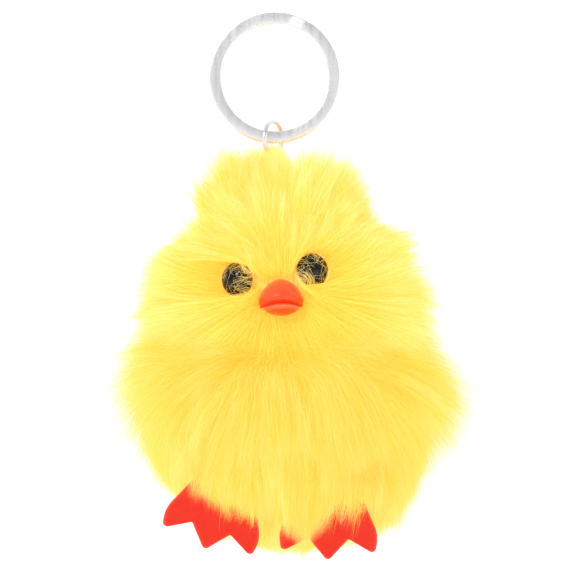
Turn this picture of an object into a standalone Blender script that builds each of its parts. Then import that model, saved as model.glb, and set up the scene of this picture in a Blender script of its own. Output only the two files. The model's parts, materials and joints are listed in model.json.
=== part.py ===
"""Plush chick keychain: a fluffy two-ball plush hung on a flat split key ring.

Units are metres, +Z is up and the face looks along -Y. The origin is the point inside the top of
the key ring where the object hangs. From there the pieces follow each other downwards: key ring,
jump ring, cord loop, head, torso and feet, so each height is worked out from the piece above it.
"""

import math

import bmesh
import bpy
from mathutils import Euler, Matrix, Vector

# --- Clearances -------------------------------------------------------------------------------
GAP = 0.0003  # between pieces that touch on the real object
TURN_GAP = 0.0006  # between the head and the torso, which twist on each other

# --- Key ring: two flat turns of one band -----------------------------------------------------
RING_INNER_D = 0.0250
RING_BAND_W = 0.0025
RING_LAYER_T = 0.0012
RING_LAYER_GAP = 0.0001
RING_CHAMFER = 0.00025
RING_FRONT_END = math.radians(32.0)  # clockwise from the top: where the front turn is cut
RING_BACK_END = math.radians(10.0)  # clockwise from the top: where the back turn is cut
RING_END_PLAY = math.radians(0.6)
RING_STEPS_PER_TURN = 60

# --- Jump ring --------------------------------------------------------------------------------
LINK_MEAN_R = 0.00395
LINK_WIRE_R = 0.00055
LINK_X = -0.0004
LINK_DROP = 0.00035  # how far its centre lies under the middle of the key ring's band
LINK_TURN = math.radians(59.6)  # its plane, turned from the key ring's plane
LINK_CUT = math.radians(5.0)
LINK_CUT_AT = math.radians(160.0)
LINK_STEPS = 44

# --- Cord loop --------------------------------------------------------------------------------
CORD_R = 0.0006
CORD_PLAY = 0.00015
LOOP_DROP = 0.01345  # from the jump ring's lowest wire to the top of the head's fabric
LOOP_LEG_GAP = 0.0001  # between the two legs where they enter the head
KNOT_R = 0.0023
KNOT_DEPTH = 0.0033  # the knot's middle under the top of the head's fabric

# --- Head -------------------------------------------------------------------------------------
HEAD_X = 0.0002
HEAD_CORE_R = 0.0155  # outside of the backing fabric
BACKING_T = 0.0008
HEAD_FUR_HALF_W = 0.0315
HEAD_FUR_HALF_D = 0.0235
HEAD_FUR_Y = 0.0028  # the fur is shorter over the face than behind
CROWN_FUR_H = 0.0075  # of the crown's dense fur over the fabric
CROWN_R = 0.0165
CROWN_WELL_R = 0.0045
CROWN_HOLE_R = 0.0021
THREAD_R = 0.00035
CROWN_THREAD_R = 0.0027
CHIN_FUR_T = 0.0005

# --- Face -------------------------------------------------------------------------------------
FACE_ROLL = math.radians(7.0)
EYE_AZIMUTH = math.radians(32.5)
EYE_ELEVATION = math.radians(5.0)
EYE_R = 0.0040
EYE_H = 0.0030
EYE_SHANK_R = 0.0012
EYE_SHANK_L = 0.0062
WASHER_R = 0.0030
WASHER_T = 0.0009
BEAK_AZIMUTH = math.radians(3.2)
BEAK_ELEVATION = math.radians(-11.5)
BEAK_HALF_W = 0.0051
BEAK_UPPER_H = 0.0045
BEAK_UPPER_OUT = 0.0056
BEAK_LOWER_H = 0.0032
BEAK_LOWER_OUT = 0.0042
BEAK_STEM_R = 0.0016
SEAT_PLAY = 0.0004
SEAT_FUR = 0.0200  # how far the seats reach out through the fur

# --- Torso ------------------------------------------------------------------------------------
TORSO_X = 0.0012
NECK_HOLE_R = 0.0050
NECK_THREAD_R = 0.0062
TORSO_CORE_R = 0.0228
TORSO_CORE_D = 0.0208  # front to back, from the middle
TORSO_CORE_DROP = 0.0011  # its top under the torso's top face
TORSO_FUR_HALF_W = 0.0362
TORSO_FUR_HALF_D = 0.0325
TORSO_FUR_Y = -0.0014
TORSO_FUR_H = 0.0430
BASE_FUR_T = 0.0059  # fur under the torso's ball
BASE_WELL_R = 0.0080
BASE_HOLE_R = 0.0035
BASE_THREAD_R = 0.0050

# --- Feet -------------------------------------------------------------------------------------
FOOT_T = 0.0010
FOOT_L = 0.0185  # hinge line to the middle toe's tip
TOE_ARC_R = 0.0316
TOE_STEP = math.radians(19.6)
TOE_NOTCH = 0.00435
TOE_TIP_R = 0.0010
FOOT_BULGE = 0.0008
HEEL_HALF_W = 0.0050
HEEL_TOP = 0.0008
FOOT_Y = -0.0220
FOOT_SPACING = 0.0114  # each hinge from the torso's axis
FOOT_DROPS = {"left": 0.0268, "right": 0.0284}  # hinge under the torso's top face
FOOT_TURNS = {"left": math.radians(18.4), "right": math.radians(1.9)}
STITCH_LOOP_R = 0.0015
STITCH_R = 0.0003
STITCH_SPACING = 0.0027
STITCH_COUNT = 3
FOOT_WALL_Y = -0.0196
FOOT_ROOM = 0.0026  # over the hinge line

# --- Fineness ---------------------------------------------------------------------------------
TURN_STEPS = 40
SMALL_STEPS = 20
THREAD_SIDES = 6
THREAD_STEPS = 24
STITCH_STEPS = 16
BALL_STEPS = (30, 17)

COLLECTION = "plush_keychain"
CUTTERS = "cutters"

# --- Heights that follow from the sizes above -------------------------------------------------
RING_CENTRE_Z = -RING_INNER_D / 2
BAND_MID_Z = -RING_INNER_D - RING_BAND_W / 2
LINK_CENTRE_Z = BAND_MID_Z - LINK_DROP
LINK_LOW_Z = LINK_CENTRE_Z - LINK_MEAN_R
CROWN_Z = LINK_LOW_Z - LOOP_DROP
HEAD_Z = CROWN_Z - HEAD_CORE_R
CHIN_Z = HEAD_Z - HEAD_CORE_R - CHIN_FUR_T
TORSO_TOP_Z = CHIN_Z - TURN_GAP
TORSO_CORE_H = (TORSO_FUR_H - TORSO_CORE_DROP - BASE_FUR_T) / 2  # half its height
TORSO_CORE_Z = TORSO_TOP_Z - TORSO_CORE_DROP - TORSO_CORE_H
TORSO_LOW_Z = TORSO_TOP_Z - TORSO_FUR_H
HEAD_CENTRE = Vector((HEAD_X, 0.0, HEAD_Z))
TORSO_CENTRE = Vector((TORSO_X, 0.0, TORSO_CORE_Z))
WELL = 2 * HEAD_FUR_HALF_W  # longer than any fur is deep, for cutters that leave the solid

COLOURS = {
    "steel": ((0.62, 0.62, 0.61), 0.28, 1.0),
    "wire": ((0.55, 0.55, 0.54), 0.25, 1.0),
    "cord": ((0.92, 0.78, 0.28), 0.80, 0.0),
    "thread": ((0.90, 0.75, 0.25), 0.80, 0.0),
    "fur": ((1.00, 0.82, 0.14), 0.90, 0.0),
    "stuffing": ((0.93, 0.92, 0.88), 0.95, 0.0),
    "eye": ((0.01, 0.01, 0.012), 0.10, 0.0),
    "washer": ((0.85, 0.85, 0.82), 0.45, 0.0),
    "beak": ((0.95, 0.18, 0.05), 0.25, 0.0),
    "foot": ((0.90, 0.07, 0.03), 0.60, 0.0),
}


def clear_scene():
    """Remove everything that the new file starts with."""
    for obj in list(bpy.data.objects):
        bpy.data.objects.remove(obj, do_unlink=True)


def make_collections():
    """Add the object's collection and the one for cutters and guides."""
    for name in (COLLECTION, CUTTERS):
        collection = bpy.data.collections.new(name)
        bpy.context.scene.collection.children.link(collection)


def make_material(name):
    """A Principled material from the colour table."""
    colour, roughness, metallic = COLOURS[name]
    material = bpy.data.materials.new(name)
    material.use_nodes = True
    shader = material.node_tree.nodes["Principled BSDF"]
    shader.inputs["Base Color"].default_value = (*colour, 1.0)
    shader.inputs["Roughness"].default_value = roughness
    shader.inputs["Metallic"].default_value = metallic
    return material


def add_empty(name, location, parent=None, turn=(0.0, 0.0, 0.0)):
    """An empty that stands on a joint's axis, placed in world space."""
    empty = bpy.data.objects.new(name, None)
    bpy.data.collections[COLLECTION].objects.link(empty)
    place(empty, Matrix.LocRotScale(Vector(location), Euler(turn), None), parent)
    return empty


def place(obj, world, parent):
    """Put an object at a world matrix, under its parent."""
    if parent is not None:
        obj.parent = parent
        bpy.context.view_layer.update()
    obj.matrix_world = world
    bpy.context.view_layer.update()


def add_piece(name, data, slot, world, parent):
    """Link a piece of the object with its own material and smooth shading."""
    obj = bpy.data.objects.new(name, data)
    bpy.data.collections[COLLECTION].objects.link(obj)
    data.materials.append(make_material(slot))
    if isinstance(data, bpy.types.Mesh):
        data.shade_smooth()
        data.set_sharp_from_angle(angle=math.radians(35))
    place(obj, world, parent)
    return obj


def add_cutter(name, data, world):
    """Link a cutter or a guide, which the object itself leaves out."""
    obj = bpy.data.objects.new(name, data)
    bpy.data.collections[CUTTERS].objects.link(obj)
    obj.hide_render = True
    obj.display_type = "WIRE"
    place(obj, world, None)
    return obj


def at(x, y, z):
    """A world matrix that only moves."""
    return Matrix.Translation((x, y, z))


def boolean(obj, other, operation="DIFFERENCE"):
    """Cut or join one object with another, with Blender's exact solver."""
    modifier = obj.modifiers.new(f"{operation.lower()}_{other.name}", "BOOLEAN")
    modifier.operation = operation
    modifier.solver = "EXACT"
    modifier.object = other


def sphere_mesh(name, radii, segments=BALL_STEPS[0], rings=BALL_STEPS[1]):
    """A ball, or an egg where the three radii differ, with its size in the mesh."""
    mesh = bpy.data.meshes.new(name)
    shape = bmesh.new()
    bmesh.ops.create_uvsphere(shape, u_segments=segments, v_segments=rings, radius=1.0)
    bmesh.ops.scale(shape, vec=Vector(radii), verts=shape.verts)
    shape.to_mesh(mesh)
    shape.free()
    return mesh


def cylinder_mesh(name, radius, low, high, steps):
    """A closed cylinder along Z between two heights."""
    mesh = bpy.data.meshes.new(name)
    shape = bmesh.new()
    bmesh.ops.create_cone(
        shape, cap_ends=True, segments=steps, radius1=radius, radius2=radius, depth=high - low
    )
    bmesh.ops.translate(shape, vec=(0.0, 0.0, (low + high) / 2), verts=shape.verts)
    shape.to_mesh(mesh)
    shape.free()
    return mesh


def box_mesh(name, low, high):
    """A closed box between two corners."""
    mesh = bpy.data.meshes.new(name)
    shape = bmesh.new()
    bmesh.ops.create_cube(shape, size=1.0)
    bmesh.ops.scale(shape, vec=Vector(high) - Vector(low), verts=shape.verts)
    bmesh.ops.translate(shape, vec=(Vector(high) + Vector(low)) / 2, verts=shape.verts)
    shape.to_mesh(mesh)
    shape.free()
    return mesh


def profile_mesh(name, points, closed=False):
    """A chain of edges in the XZ plane, for the Screw modifier."""
    mesh = bpy.data.meshes.new(name)
    edges = [(i, i + 1) for i in range(len(points) - 1)]
    if closed:
        edges.append((len(points) - 1, 0))
    mesh.from_pydata([(x, 0.0, z) for x, z in points], edges, [])
    return mesh


def turn(obj, steps):
    """Turn an object's profile about its own Z axis."""
    screw = obj.modifiers.new("turn", "SCREW")
    screw.axis = "Z"
    screw.steps = steps
    screw.render_steps = steps
    screw.use_merge_vertices = True
    screw.merge_threshold = 0.00001
    screw.use_smooth_shade = True


def ring_profile(mean_r, wire_r, sides=THREAD_SIDES):
    """The closed round section of a turned ring, which runs down its outer side."""
    angles = [math.pi / 2 - 2 * math.pi * i / sides for i in range(sides)]
    return [(mean_r + wire_r * math.cos(a), wire_r * math.sin(a)) for a in angles]


def ellipse_arc(width, height, start, end, count):
    """Points of an ellipse about the origin, between two angles from the X axis."""
    angles = [start + (end - start) * i / count for i in range(count + 1)]
    return [(width * math.cos(a), height * math.sin(a)) for a in angles]


def poly_curve(name, points, wire_r, resolution=2):
    """A round wire through the given points, with filled ends."""
    curve = bpy.data.curves.new(name, "CURVE")
    curve.dimensions = "3D"
    curve.bevel_depth = wire_r
    curve.bevel_resolution = resolution
    curve.use_fill_caps = True
    add_poly_spline(curve, points)
    return curve


def add_poly_spline(curve, points, cyclic=False):
    """Add one straight-edged spline to a curve."""
    spline = curve.splines.new("POLY")
    spline.points.add(len(points) - 1)
    for point, co in zip(spline.points, points):
        point.co = (*co, 1.0)
    spline.use_cyclic_u = cyclic


def curve_to_mesh(curve_obj):
    """Turn a curve object into a mesh object whose end caps are welded."""
    bpy.context.view_layer.update()
    graph = bpy.context.evaluated_depsgraph_get()
    mesh = bpy.data.meshes.new_from_object(curve_obj.evaluated_get(graph))
    shape = bmesh.new()
    shape.from_mesh(mesh)
    bmesh.ops.remove_doubles(shape, verts=shape.verts, dist=0.000001)
    bmesh.ops.recalc_face_normals(shape, faces=shape.faces)
    shape.to_mesh(mesh)
    shape.free()
    world = curve_obj.matrix_world.copy()
    name = curve_obj.name
    slot = curve_obj.data.materials[0]
    parent = curve_obj.parent
    bpy.data.objects.remove(curve_obj, do_unlink=True)
    obj = bpy.data.objects.new(name, mesh)
    bpy.data.collections[COLLECTION].objects.link(obj)
    mesh.materials.clear()
    mesh.materials.append(slot)
    mesh.shade_smooth()
    place(obj, world, parent)
    return obj


def smooth_step(share):
    """Ease from 0 to 1."""
    share = min(max(share, 0.0), 1.0)
    return share * share * (3 - 2 * share)


# --- Ring, jump ring and cord -----------------------------------------------------------------


def build_key_ring():
    """Two flat turns of one band: the front turn is cut, crosses behind and is cut again."""
    section = bpy.data.curves.new("ring_section", "CURVE")
    section.dimensions = "2D"
    half_w = RING_BAND_W / 2
    half_t = RING_LAYER_T / 2
    corners = []
    for sx, sy in ((1, 1), (-1, 1), (-1, -1), (1, -1)):
        along_x = (sx * (half_w - RING_CHAMFER), sy * half_t, 0.0)
        along_y = (sx * half_w, sy * (half_t - RING_CHAMFER), 0.0)
        corners += [along_y, along_x] if sx * sy > 0 else [along_x, along_y]
    add_poly_spline(section, corners, cyclic=True)
    guide = add_cutter("ring_section", section, at(0, 0, RING_CENTRE_Z))

    mean_r = (RING_INNER_D + RING_BAND_W) / 2
    layer = (RING_LAYER_T + RING_LAYER_GAP) / 2
    start = RING_FRONT_END + RING_END_PLAY
    cross = 2 * math.pi + RING_BACK_END + RING_END_PLAY
    crossed = 2 * math.pi + RING_FRONT_END - RING_END_PLAY
    end = 4 * math.pi + RING_BACK_END - RING_END_PLAY
    steps = round(RING_STEPS_PER_TURN * (end - start) / (2 * math.pi))
    points = []
    for i in range(steps + 1):
        clock = start + (end - start) * i / steps
        shift = layer * (1 - 2 * smooth_step((clock - cross) / (crossed - cross)))
        points.append((mean_r * math.sin(clock), mean_r * math.cos(clock), shift))

    curve = bpy.data.curves.new("key_ring", "CURVE")
    curve.dimensions = "3D"
    curve.twist_mode = "Z_UP"
    curve.bevel_mode = "OBJECT"
    curve.bevel_object = guide
    curve.use_fill_caps = True
    add_poly_spline(curve, points)
    world = at(0, 0, RING_CENTRE_Z) @ Matrix.Rotation(math.pi / 2, 4, "X")
    ring = add_piece("key_ring", curve, "steel", world, None)
    return curve_to_mesh(ring)


def build_jump_ring(pivot):
    """A round wire ring around the key ring's band, cut once."""
    points = []
    for i in range(LINK_STEPS + 1):
        angle = LINK_CUT_AT + LINK_CUT / 2 + (2 * math.pi - LINK_CUT) * i / LINK_STEPS
        points.append((LINK_MEAN_R * math.cos(angle), 0.0, LINK_MEAN_R * math.sin(angle)))
    curve = poly_curve("jump_ring", points, LINK_WIRE_R)
    world = at(LINK_X, 0, LINK_CENTRE_Z) @ Matrix.Rotation(LINK_TURN, 4, "Z")
    return curve_to_mesh(add_piece("jump_ring", curve, "wire", world, pivot))


def build_hang_loop(pivot):
    """A cord loop through the jump ring, knotted inside the head."""
    reach = LINK_WIRE_R + CORD_R + CORD_PLAY
    leg = CORD_R + LOOP_LEG_GAP / 2
    knot_z = -LOOP_DROP - KNOT_DEPTH
    neck_z = -LOOP_DROP + 2 * CORD_R
    side = [(leg, knot_z), (leg, neck_z)]
    side += [
        (leg + (reach - leg) * smooth_step(share), neck_z * (1 - share))
        for share in (0.2, 0.4, 0.6, 0.8)
    ]
    arch = [
        (reach * math.cos(math.pi * i / 10), reach * math.sin(math.pi * i / 10)) for i in range(11)
    ]
    path = side + arch + [(-x, z) for x, z in reversed(side)]
    curve = poly_curve("hang_loop", [(0.0, x, z) for x, z in path], CORD_R)
    world = at(LINK_X, 0, LINK_LOW_Z) @ Matrix.Rotation(LINK_TURN, 4, "Z")
    loop = curve_to_mesh(add_piece("hang_loop", curve, "cord", world, pivot))
    knot = add_cutter(
        "knot", sphere_mesh("knot", (KNOT_R, KNOT_R, KNOT_R), 16, 9), at(LINK_X, 0, LINK_LOW_Z + knot_z)
    )
    boolean(loop, knot, "UNION")
    return loop


# --- Head -------------------------------------------------------------------------------------


def face_frame(azimuth, elevation, distance):
    """A world matrix on the head's surface: Z points out of the face, Y up and X to the right."""
    out = Vector(
        (
            math.sin(azimuth) * math.cos(elevation),
            -math.cos(azimuth) * math.cos(elevation),
            math.sin(elevation),
        )
    )
    roll = Matrix.Rotation(-FACE_ROLL, 3, "Y")
    out = roll @ out
    right = (roll @ Vector((0, 0, 1))).cross(out).normalized()
    up = out.cross(right)
    turn_matrix = Matrix((right, up, out)).transposed().to_4x4()
    return Matrix.Translation(HEAD_CENTRE + out * distance) @ turn_matrix


def face_places():
    """Each face part's name, its frame at the fabric, its seat radius and its stem radius."""
    eye_seat = EYE_R + SEAT_PLAY
    return [
        ("left_eye", face_frame(-EYE_AZIMUTH, EYE_ELEVATION, HEAD_CORE_R), eye_seat, EYE_SHANK_R),
        ("right_eye", face_frame(EYE_AZIMUTH, EYE_ELEVATION, HEAD_CORE_R), eye_seat, EYE_SHANK_R),
        (
            "beak",
            face_frame(BEAK_AZIMUTH, BEAK_ELEVATION, HEAD_CORE_R),
            BEAK_HALF_W + SEAT_PLAY,
            BEAK_STEM_R,
        ),
    ]


def build_head_cover(pivot):
    """The head's fur cover, from its backing to where the fur is dense."""
    low = CHIN_Z - HEAD_Z
    brow = HEAD_FUR_HALF_W * 0.62
    profile = [
        (0.0, HEAD_CORE_R + CROWN_FUR_H),
        (CROWN_R * 0.5, HEAD_CORE_R + CROWN_FUR_H),
        (CROWN_R * 0.85, HEAD_CORE_R + CROWN_FUR_H * 0.75),
        (CROWN_R, HEAD_CORE_R + CROWN_FUR_H * 0.4),
        (brow, HEAD_CORE_R * 0.75),
        (HEAD_FUR_HALF_W * 0.84, HEAD_CORE_R * 0.45),
        (HEAD_FUR_HALF_W * 0.95, HEAD_CORE_R * 0.1),
        (HEAD_FUR_HALF_W, -HEAD_CORE_R * 0.4),
        (HEAD_FUR_HALF_W * 0.99, -HEAD_CORE_R * 0.75),
        (HEAD_FUR_HALF_W * 0.94, low),
        (0.0, low),
    ]
    world = Matrix.LocRotScale(
        Vector((HEAD_X, HEAD_FUR_Y, HEAD_Z)),
        None,
        Vector((1.0, HEAD_FUR_HALF_D / HEAD_FUR_HALF_W, 1.0)),
    )
    cover = add_piece("head_fur_cover", profile_mesh("head_fur_cover", profile), "fur", world, pivot)
    turn(cover, TURN_STEPS)
    here = Matrix.Translation(HEAD_CENTRE)
    cavity_r = HEAD_CORE_R - BACKING_T
    cavity = sphere_mesh("head_cavity", (cavity_r, cavity_r, cavity_r))
    boolean(cover, add_cutter("head_cavity", cavity, here))
    well = cylinder_mesh("crown_well", CROWN_WELL_R, HEAD_CORE_R, WELL, SMALL_STEPS)
    link_here = at(LINK_X, 0, HEAD_Z)
    boolean(cover, add_cutter("crown_well", well, link_here))
    hole = cylinder_mesh("crown_hole", CROWN_HOLE_R, HEAD_CORE_R / 2, WELL, SMALL_STEPS)
    boolean(cover, add_cutter("crown_hole", hole, link_here))
    neck = cylinder_mesh("head_neck_hole", NECK_HOLE_R, -WELL, -HEAD_CORE_R / 2, SMALL_STEPS)
    boolean(cover, add_cutter("head_neck_hole", neck, here))
    for name, frame, seat_r, stem_r in face_places():
        seat = cylinder_mesh(f"{name}_seat", seat_r, 0.0, SEAT_FUR, SMALL_STEPS)
        boolean(cover, add_cutter(f"{name}_seat", seat, frame))
        bore = cylinder_mesh(f"{name}_bore", stem_r + GAP, -4 * BACKING_T, SEAT_FUR / 2, SMALL_STEPS)
        boolean(cover, add_cutter(f"{name}_bore", bore, frame))
    return cover


def build_head_stuffing(pivot):
    """The ball of stuffing, with room for the knot and for what holds the eyes and the beak."""
    radius = HEAD_CORE_R - BACKING_T - GAP
    mesh = sphere_mesh("head_stuffing", (radius, radius, radius))
    ball = add_piece("head_stuffing", mesh, "stuffing", Matrix.Translation(HEAD_CENTRE), pivot)
    knot_room = KNOT_R + 2 * GAP
    knot_low = HEAD_CORE_R - KNOT_DEPTH - knot_room
    room = cylinder_mesh("knot_room", knot_room, knot_low, WELL, SMALL_STEPS)
    boolean(ball, add_cutter("knot_room", room, at(LINK_X, 0, HEAD_Z)))
    for name, frame, _seat_r, stem_r in face_places():
        low = -washer_depth() - WASHER_T - GAP
        room = cylinder_mesh(f"{name}_washer_room", WASHER_R + GAP, low, SEAT_FUR, SMALL_STEPS)
        boolean(ball, add_cutter(f"{name}_washer_room", room, frame))
        stem = cylinder_mesh(
            f"{name}_stem_room", stem_r + GAP, -EYE_SHANK_L - GAP, SEAT_FUR, SMALL_STEPS
        )
        boolean(ball, add_cutter(f"{name}_stem_room", stem, frame))
    return ball


def washer_depth():
    """How far under the fabric's outside a washer's outer face lies, clear of the backing."""
    cavity_r = HEAD_CORE_R - BACKING_T
    sag = cavity_r - math.sqrt(cavity_r**2 - (WASHER_R + GAP) ** 2)
    return BACKING_T + sag + GAP


def build_threads(head, torso):
    """The drawn threads that close the covers at the crown, the neck and the base."""
    crown_z = CROWN_Z + THREAD_R + GAP
    neck_z = TORSO_TOP_Z - THREAD_R - GAP / 2
    base_z = TORSO_CORE_Z - TORSO_CORE_H - THREAD_R - GAP
    rings = [
        ("crown_gathering_thread", CROWN_THREAD_R, (LINK_X, 0, crown_z), head),
        ("neck_gathering_thread", NECK_THREAD_R, (TORSO_X, 0, neck_z), torso),
        ("base_gathering_thread", BASE_THREAD_R, (TORSO_X, 0, base_z), torso),
    ]
    for name, radius, spot, parent in rings:
        mesh = profile_mesh(name, ring_profile(radius, THREAD_R), closed=True)
        turn(add_piece(name, mesh, "thread", at(*spot), parent), THREAD_STEPS)


def build_eye(name, frame, pivot):
    """A domed safety eye with its shank, and the washer that locks it inside the head."""
    profile = [(x, z + GAP) for x, z in ellipse_arc(EYE_R, EYE_H, math.pi / 2, 0.0, 7)]
    profile[0] = (0.0, EYE_H + GAP)
    profile += [(EYE_SHANK_R, GAP), (EYE_SHANK_R, -EYE_SHANK_L), (0.0, -EYE_SHANK_L)]
    eye = add_piece(name, profile_mesh(name, profile), "eye", frame, pivot)
    turn(eye, SMALL_STEPS)
    build_washer(f"{name}_washer", frame, EYE_SHANK_R, pivot)


def build_washer(name, frame, stem_r, pivot):
    """A flat washer around a stem, just inside the backing fabric."""
    high = -washer_depth()
    low = high - WASHER_T
    bore = stem_r + GAP
    profile = [(bore, high), (WASHER_R, high), (WASHER_R, low), (bore, low)]
    turn(add_piece(name, profile_mesh(name, profile, True), "washer", frame, pivot), SMALL_STEPS)


def half_ball(name, radii, keep_up):
    """The front of an egg shape, cut at the fabric and at the mouth line."""
    mesh = sphere_mesh(name, radii, 20, 12)
    shape = bmesh.new()
    shape.from_mesh(mesh)
    cuts = [((0, 0, GAP), (0, 0, -1)), ((0, 0, 0), (0, -1, 0) if keep_up else (0, 1, 0))]
    for point, normal in cuts:
        parts = list(shape.verts) + list(shape.edges) + list(shape.faces)
        bmesh.ops.bisect_plane(
            shape, geom=parts, plane_co=point, plane_no=normal, dist=1e-7, clear_outer=True
        )
        rim = [edge for edge in shape.edges if edge.is_boundary]
        bmesh.ops.contextual_create(shape, geom=rim)
    shape.to_mesh(mesh)
    shape.free()
    return mesh


def build_beak(frame, pivot):
    """The moulded beak: an upper bill, a lower bill and the stem that its washer grips."""
    upper_radii = (BEAK_HALF_W, BEAK_UPPER_H, BEAK_UPPER_OUT)
    lower_radii = (BEAK_HALF_W * 0.93, BEAK_LOWER_H, BEAK_LOWER_OUT)
    world = frame @ at(0, -BEAK_UPPER_H * 0.35, 0)
    upper = half_ball("beak", upper_radii, keep_up=True)
    beak = add_piece("beak", upper, "beak", world, pivot)
    lower = half_ball("lower_bill", lower_radii, keep_up=False)
    boolean(beak, add_cutter("lower_bill", lower, world @ at(0, GAP, 0)), "UNION")
    stem = cylinder_mesh("beak_stem", BEAK_STEM_R, -EYE_SHANK_L, BEAK_UPPER_H / 2, SMALL_STEPS)
    boolean(beak, add_cutter("beak_stem", stem, frame), "UNION")
    build_washer("beak_washer", frame, BEAK_STEM_R, pivot)


# --- Torso ------------------------------------------------------------------------------------


def build_torso(pivot):
    """The torso's fur cover and its stuffing."""
    profile = [
        (0.0, 0.0),
        (TORSO_FUR_HALF_W * 0.86, 0.0),
        (TORSO_FUR_HALF_W * 0.95, -TORSO_FUR_H * 0.07),
        (TORSO_FUR_HALF_W, -TORSO_FUR_H * 0.18),
        (TORSO_FUR_HALF_W, -TORSO_FUR_H * 0.38),
        (TORSO_FUR_HALF_W * 0.94, -TORSO_FUR_H * 0.49),
        (TORSO_FUR_HALF_W * 0.75, -TORSO_FUR_H * 0.71),
        (TORSO_FUR_HALF_W * 0.60, -TORSO_FUR_H * 0.86),
        (TORSO_FUR_HALF_W * 0.42, -TORSO_FUR_H * 0.97),
        (TORSO_FUR_HALF_W * 0.32, -TORSO_FUR_H),
        (0.0, -TORSO_FUR_H),
    ]
    world = Matrix.LocRotScale(
        Vector((TORSO_X, TORSO_FUR_Y, TORSO_TOP_Z)),
        None,
        Vector((1.0, TORSO_FUR_HALF_D / TORSO_FUR_HALF_W, 1.0)),
    )
    cover = add_piece("body_fur_cover", profile_mesh("body_fur_cover", profile), "fur", world, pivot)
    turn(cover, TURN_STEPS)
    here = Matrix.Translation(TORSO_CENTRE)
    inside = Vector((TORSO_CORE_R, TORSO_CORE_D, TORSO_CORE_H)) - Vector((BACKING_T,) * 3)
    cavity = sphere_mesh("torso_cavity", inside)
    boolean(cover, add_cutter("torso_cavity", cavity, here))
    cuts = [
        ("torso_neck_hole", NECK_HOLE_R, 0.0, WELL),
        ("neck_thread_groove", NECK_THREAD_R + THREAD_R + GAP, neck_groove_z(), WELL),
        ("base_hole", BASE_HOLE_R, -WELL, 0.0),
        ("base_well", BASE_WELL_R, -WELL, -TORSO_CORE_H),
    ]
    for name, radius, low, high in cuts:
        cutter = cylinder_mesh(name, radius, low, high, SMALL_STEPS)
        boolean(cover, add_cutter(name, cutter, here))
    pocket_top = TORSO_TOP_Z - min(FOOT_DROPS.values()) + FOOT_ROOM
    pocket = box_mesh("foot_pocket", (-WELL, -WELL, TORSO_LOW_Z - WELL), (WELL, FOOT_WALL_Y, pocket_top))
    boolean(cover, add_cutter("foot_pocket", pocket, at(0, 0, 0)))

    ball = sphere_mesh("body_stuffing", inside - Vector((GAP,) * 3))
    add_piece("body_stuffing", ball, "stuffing", here, pivot)


def neck_groove_z():
    """The floor of the neck thread's groove, from the torso core's middle."""
    return TORSO_CORE_H + TORSO_CORE_DROP - 2 * THREAD_R - 1.5 * GAP


# --- Feet -------------------------------------------------------------------------------------


def rounded(corners):
    """Replace each corner (x, z, radius) of a closed outline by an arc that touches both sides."""
    outline = []
    count = len(corners)
    for i, (x, z, radius) in enumerate(corners):
        here = Vector((x, z))
        before = (Vector(corners[i - 1][:2]) - here).normalized()
        after = (Vector(corners[(i + 1) % count][:2]) - here).normalized()
        half = before.angle(after) / 2
        run = radius / math.tan(half)
        centre = here + (before + after).normalized() * (radius / math.sin(half))
        first = here + before * run - centre
        last = here + after * run - centre
        sweep = math.atan2(first.x * last.y - first.y * last.x, first.dot(last))
        steps = max(2, math.ceil(abs(sweep) / math.radians(16)))
        for step in range(steps + 1):
            part = Matrix.Rotation(sweep * step / steps, 2) @ first
            outline.append(centre + part)
    return outline


def foot_outline():
    """One foot, its hinge line at the origin and its middle toe down."""
    arc_z = TOE_ARC_R - FOOT_L
    side_x = TOE_ARC_R * math.sin(TOE_STEP)
    side_z = arc_z - TOE_ARC_R * math.cos(TOE_STEP)
    notch_r = TOE_ARC_R * math.cos(TOE_STEP / 2) - TOE_NOTCH
    notch_x = notch_r * math.sin(TOE_STEP / 2)
    notch_z = arc_z - notch_r * math.cos(TOE_STEP / 2)
    right_side = [
        (0.0, -FOOT_L, TOE_TIP_R),
        (notch_x, notch_z, TOE_TIP_R / 2),
        (side_x, side_z, TOE_TIP_R),
        (side_x + FOOT_BULGE, side_z + TOE_NOTCH, 4 * TOE_TIP_R),
        (HEEL_HALF_W, HEEL_TOP, 2 * TOE_TIP_R),
    ]
    left_side = [(-x, z, r) for x, z, r in reversed(right_side[1:])]
    return rounded(right_side + left_side)


def build_foot(side, pivot):
    """A flat webbed foot with three toes, hung on stitches through its heel."""
    outline = foot_outline()
    curve = bpy.data.curves.new(f"{side}_foot", "CURVE")
    curve.dimensions = "2D"
    curve.fill_mode = "BOTH"
    curve.extrude = FOOT_T / 2
    add_poly_spline(curve, [(p.x, p.y, 0.0) for p in outline], cyclic=True)
    upright = pivot.matrix_world @ Matrix.Rotation(math.pi / 2, 4, "X")
    foot = curve_to_mesh(add_piece(f"{side}_foot", curve, "foot", upright, pivot))

    for i in range(STITCH_COUNT):
        name = f"{side}_foot_stitch_{i + 1}"
        x = (i - (STITCH_COUNT - 1) / 2) * STITCH_SPACING
        hole = cylinder_mesh(f"{name}_hole", STITCH_R + GAP, -2 * FOOT_T, 2 * FOOT_T, 12)
        spot = pivot.matrix_world @ at(x, 0, -STITCH_LOOP_R) @ Matrix.Rotation(math.pi / 2, 4, "X")
        boolean(foot, add_cutter(f"{name}_hole", hole, spot))
        mesh = profile_mesh(name, ring_profile(STITCH_LOOP_R, STITCH_R), closed=True)
        across = pivot.matrix_world @ at(x, 0, 0) @ Matrix.Rotation(math.pi / 2, 4, "Y")
        turn(add_piece(name, mesh, "thread", across, pivot), STITCH_STEPS)


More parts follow.
